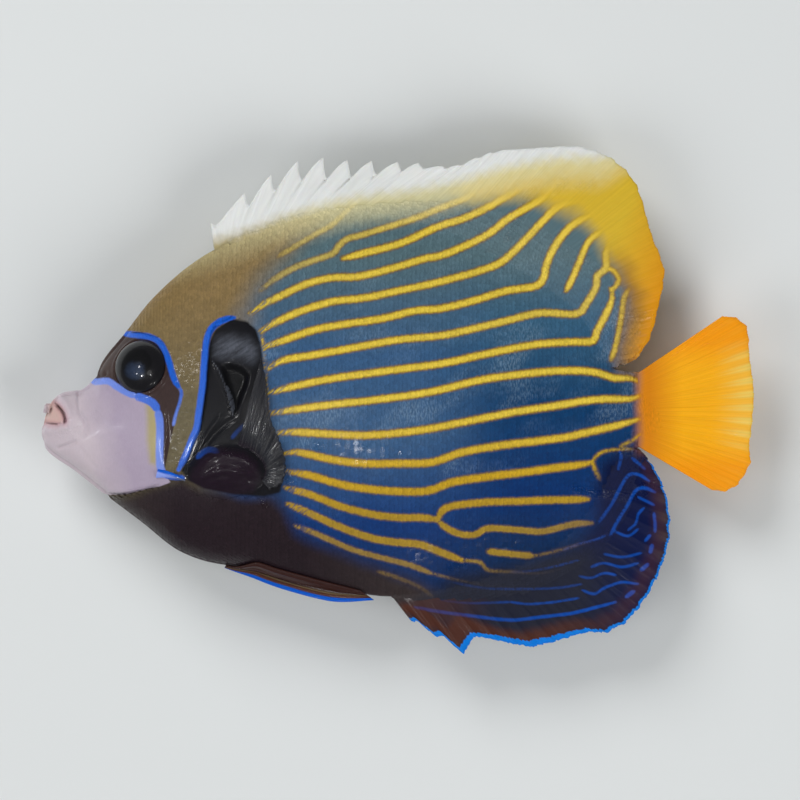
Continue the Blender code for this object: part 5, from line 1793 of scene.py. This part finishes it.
def make_teeth():
    """A band of fine bristle teeth between the lips."""
    let_go()
    bpy.ops.mesh.primitive_cone_add(vertices=6, radius1=0.11, radius2=0.05, depth=1)
    template, faces = taken_apart()
    rng = np.random.default_rng(TOOTH_SEED)
    spots = []
    links = []
    for row in range(TOOTH_ROWS):
        for angle in np.linspace(-TOOTH_ANGLE, TOOTH_ANGLE, ROW_TEETH):
            turn = math.radians(angle + rng.uniform(-2, 2))
            reach = TOOTH_REACH + TOOTH_ROW_STEP * row
            top = np.array([MOUTH[0] - reach * math.cos(turn) * 0.8, MOUTH[1] - 0.25 * row,
                            reach * math.sin(turn) * 1.25])
            low = top + (-0.35 * math.cos(turn), -1.9 + 0.3 * row + rng.uniform(-0.2, 0.2), 0)
            run = low - top
            size = np.linalg.norm(run)
            run = run / size
            side = unit(np.cross(run, (0, 0, 1.0)))
            over = np.cross(side, run)
            made = (top + run * ((template[:, 2:] + 0.5) * size) + side * template[:, :1]
                    + over * template[:, 1:2])
            links += [tuple(k + len(spots) * len(template) for k in face) for face in faces]
            spots.append(made)
    mesh = bpy.data.meshes.new("bristle_teeth")
    mesh.from_pydata(place(np.vstack(spots)).tolist(), [], links)
    piece = brought("bristle_teeth", mesh)
    start_edit()
    end_edit()
    bpy.ops.object.shade_smooth_by_angle(angle=math.radians(50))
    settle(piece, (), tooth_material())


def floor_material():
    """Pale matt floor with a trace of unevenness."""
    p = Paint("pale_floor")
    cloud = p.noise(4.0, 2.0)
    base = p.shade("floor", 0.985 + cloud * 0.03)
    return p.finish(base, 0.6, dry=1.0)


# Soft lights: name, place and width in metres, the power's setting and its share.
SOFT_LIGHTS = [("key_light", (-0.55, 0.85, 0.75), 0.7, "key_power", 1.0),
               ("fill_light", (0.85, -0.65, 0.75), 0.9, "fill_power", 1.0),
               ("side_light", (-0.95, -0.55, 0.8), 0.9, "fill_power", 0.6)]
SHEEN_LIGHT = ((-0.08, 0.03, 1.0), 0.26)
SKY_COLOUR = (0.95, 0.98, 1.0, 1.0)
SENSOR_WIDTH = 36.0
# Small lights: place, width and share of their power. They only make highlights on wet skin
# and on the eyes.
GLINTS = [((0.0, -0.085, 0.8), 0.03, 0.3), ((0.286, -0.924, 0.8), 0.05, 0.5),
          ((-0.39, -0.08, 0.8), 0.05, 0.8), ((-0.65, 0.02, 0.8), 0.04, 0.4),
          ((-0.511, 0.278, 0.736), 0.06, 0.35), ((0.396, -0.639, 0.454), 0.03, 0.5)]


def area_light(name, spot, size, power, glossy=True, diffuse=True):
    """A round soft light that faces the fish; it may leave out gloss or plain shade."""
    lamp = bpy.data.lights.new(name, "AREA")
    lamp.shape = "DISK"
    lamp.size = size
    lamp.energy = power
    thing = bpy.data.objects.new(name, lamp)
    thing.location = spot
    thing.rotation_euler = (-Vector(spot)).to_track_quat("-Z", "Y").to_euler()
    thing.visible_glossy = glossy
    thing.visible_diffuse = diffuse
    bpy.context.scene.collection.objects.link(thing)


def make_stage():
    """Pale floor, soft studio light and a camera straight above."""
    scene = bpy.context.scene
    stage = scene.fish_stage
    let_go()
    bpy.ops.mesh.primitive_plane_add(size=stage.floor_size)
    floor = bpy.context.active_object
    floor.name = floor.data.name = "floor"
    floor.data.materials.append(floor_material())
    for name, spot, size, power, share in SOFT_LIGHTS:
        area_light(name, spot, size, getattr(stage, power) * share, glossy=False)
    area_light("sheen_light", *SHEEN_LIGHT, stage.sheen_power)
    for k, (spot, size, share) in enumerate(GLINTS):
        area_light(f"glint_light_{k}", spot, size, stage.glint_power * share, diffuse=False)
    world = bpy.data.worlds.new("surround")
    world.use_nodes = True
    backdrop = world.node_tree.nodes["Background"]
    backdrop.inputs["Color"].default_value = SKY_COLOUR
    backdrop.inputs["Strength"].default_value = stage.sky_strength
    scene.world = world
    scene.view_settings.view_transform = "Standard"
    lens = bpy.data.cameras.new("camera")
    camera = bpy.data.objects.new("camera", lens)
    scene.collection.objects.link(camera)
    shown = VIEW_PIXELS * PIXEL * UNIT
    lens.sensor_width = SENSOR_WIDTH
    lens.lens = SENSOR_WIDTH * stage.camera_height / shown
    lens.clip_start = 0.01
    lens.clip_end = 20.0
    off = (VIEW_PIXELS / 2 - VIEW_CENTRE[0]) * PIXEL
    camera.location = place(np.array([[off, 0.0, 0.0]]))[0]
    camera.location.z += stage.camera_height
    scene.camera = camera


class BuildStep:
    """Shared by the operators: each runs one making function."""

    bl_options = {"REGISTER", "UNDO"}

    def execute(self, context):
        """Make the piece or group that the operator is named for."""
        type(self).make()
        return {"FINISHED"}


class FISH_OT_skin(BuildStep, bpy.types.Operator):
    """Model the skin of head, trunk and tail stem"""

    bl_idname = "fish.skin"
    bl_label = "Skin"
    make = staticmethod(make_skin)


class FISH_OT_scales(BuildStep, bpy.types.Operator):
    """Lay the scales over the skin"""

    bl_idname = "fish.scales"
    bl_label = "Scales"
    make = staticmethod(make_scales)


class FISH_OT_eyes(BuildStep, bpy.types.Operator):
    """Model both eyes"""

    bl_idname = "fish.eyes"
    bl_label = "Eyes"
    make = staticmethod(make_eyes)


class FISH_OT_teeth(BuildStep, bpy.types.Operator):
    """Model the bristle teeth"""

    bl_idname = "fish.teeth"
    bl_label = "Teeth"
    make = staticmethod(make_teeth)


class FISH_OT_cheek_spines(BuildStep, bpy.types.Operator):
    """Model the spines of the cheeks"""

    bl_idname = "fish.cheek_spines"
    bl_label = "Cheek Spines"
    make = staticmethod(make_cheek_spines)


class FISH_OT_dorsal_fin(BuildStep, bpy.types.Operator):
    """Model the dorsal fin"""

    bl_idname = "fish.dorsal_fin"
    bl_label = "Dorsal Fin"
    make = staticmethod(make_dorsal)


class FISH_OT_anal_fin(BuildStep, bpy.types.Operator):
    """Model the anal fin"""

    bl_idname = "fish.anal_fin"
    bl_label = "Anal Fin"
    make = staticmethod(make_anal)


class FISH_OT_tail_fin(BuildStep, bpy.types.Operator):
    """Model the tail fin"""

    bl_idname = "fish.tail_fin"
    bl_label = "Tail Fin"
    make = staticmethod(make_tail)


class FISH_OT_pectoral_fins(BuildStep, bpy.types.Operator):
    """Model both pectoral fins"""

    bl_idname = "fish.pectoral_fins"
    bl_label = "Pectoral Fins"
    make = staticmethod(make_pectorals)


class FISH_OT_pelvic_fins(BuildStep, bpy.types.Operator):
    """Model both pelvic fins"""

    bl_idname = "fish.pelvic_fins"
    bl_label = "Pelvic Fins"
    make = staticmethod(make_pelvics)


class FISH_OT_stage(BuildStep, bpy.types.Operator):
    """Set the floor, the lights and the camera"""

    bl_idname = "fish.stage"
    bl_label = "Stage"
    make = staticmethod(make_stage)


OPERATORS = (FISH_OT_skin, FISH_OT_scales, FISH_OT_eyes, FISH_OT_teeth, FISH_OT_cheek_spines,
             FISH_OT_dorsal_fin, FISH_OT_anal_fin, FISH_OT_tail_fin, FISH_OT_pectoral_fins,
             FISH_OT_pelvic_fins, FISH_OT_stage)


class FISH_PT_panel(bpy.types.Panel):
    """Lists the making steps and their settings."""

    bl_label = "Emperor Angelfish"
    bl_idname = "FISH_PT_panel"
    bl_space_type = "VIEW_3D"
    bl_region_type = "UI"
    bl_category = "Angelfish"

    def draw(self, context):
        """Draw the settings, then a button for each step."""
        for group in (context.scene.fish_sizes, context.scene.fish_colours,
                      context.scene.fish_stage):
            box = self.layout.box()
            for key in group.__annotations__:
                box.prop(group, key)
        for step_class in OPERATORS:
            self.layout.operator(step_class.bl_idname)


GROUPS = {"fish_sizes": FishSizes, "fish_colours": FishColours, "fish_stage": FishStage}
CLASSES = (*GROUPS.values(), *OPERATORS, FISH_PT_panel)


def register():
    """Register the classes and hang the settings on the scene."""
    for one in CLASSES:
        bpy.utils.register_class(one)
    for key, group in GROUPS.items():
        setattr(bpy.types.Scene, key, bpy.props.PointerProperty(type=group))


def unregister():
    """Take the settings off the scene and unregister the classes."""
    for key in GROUPS:
        delattr(bpy.types.Scene, key)
    for one in reversed(CLASSES):
        bpy.utils.unregister_class(one)


def main():
    """Build every piece in order."""
    register()
    for step_class in OPERATORS:
        group, name = step_class.bl_idname.split(".")
        getattr(getattr(bpy.ops, group), name)()


if __name__ == "__main__":
    main()
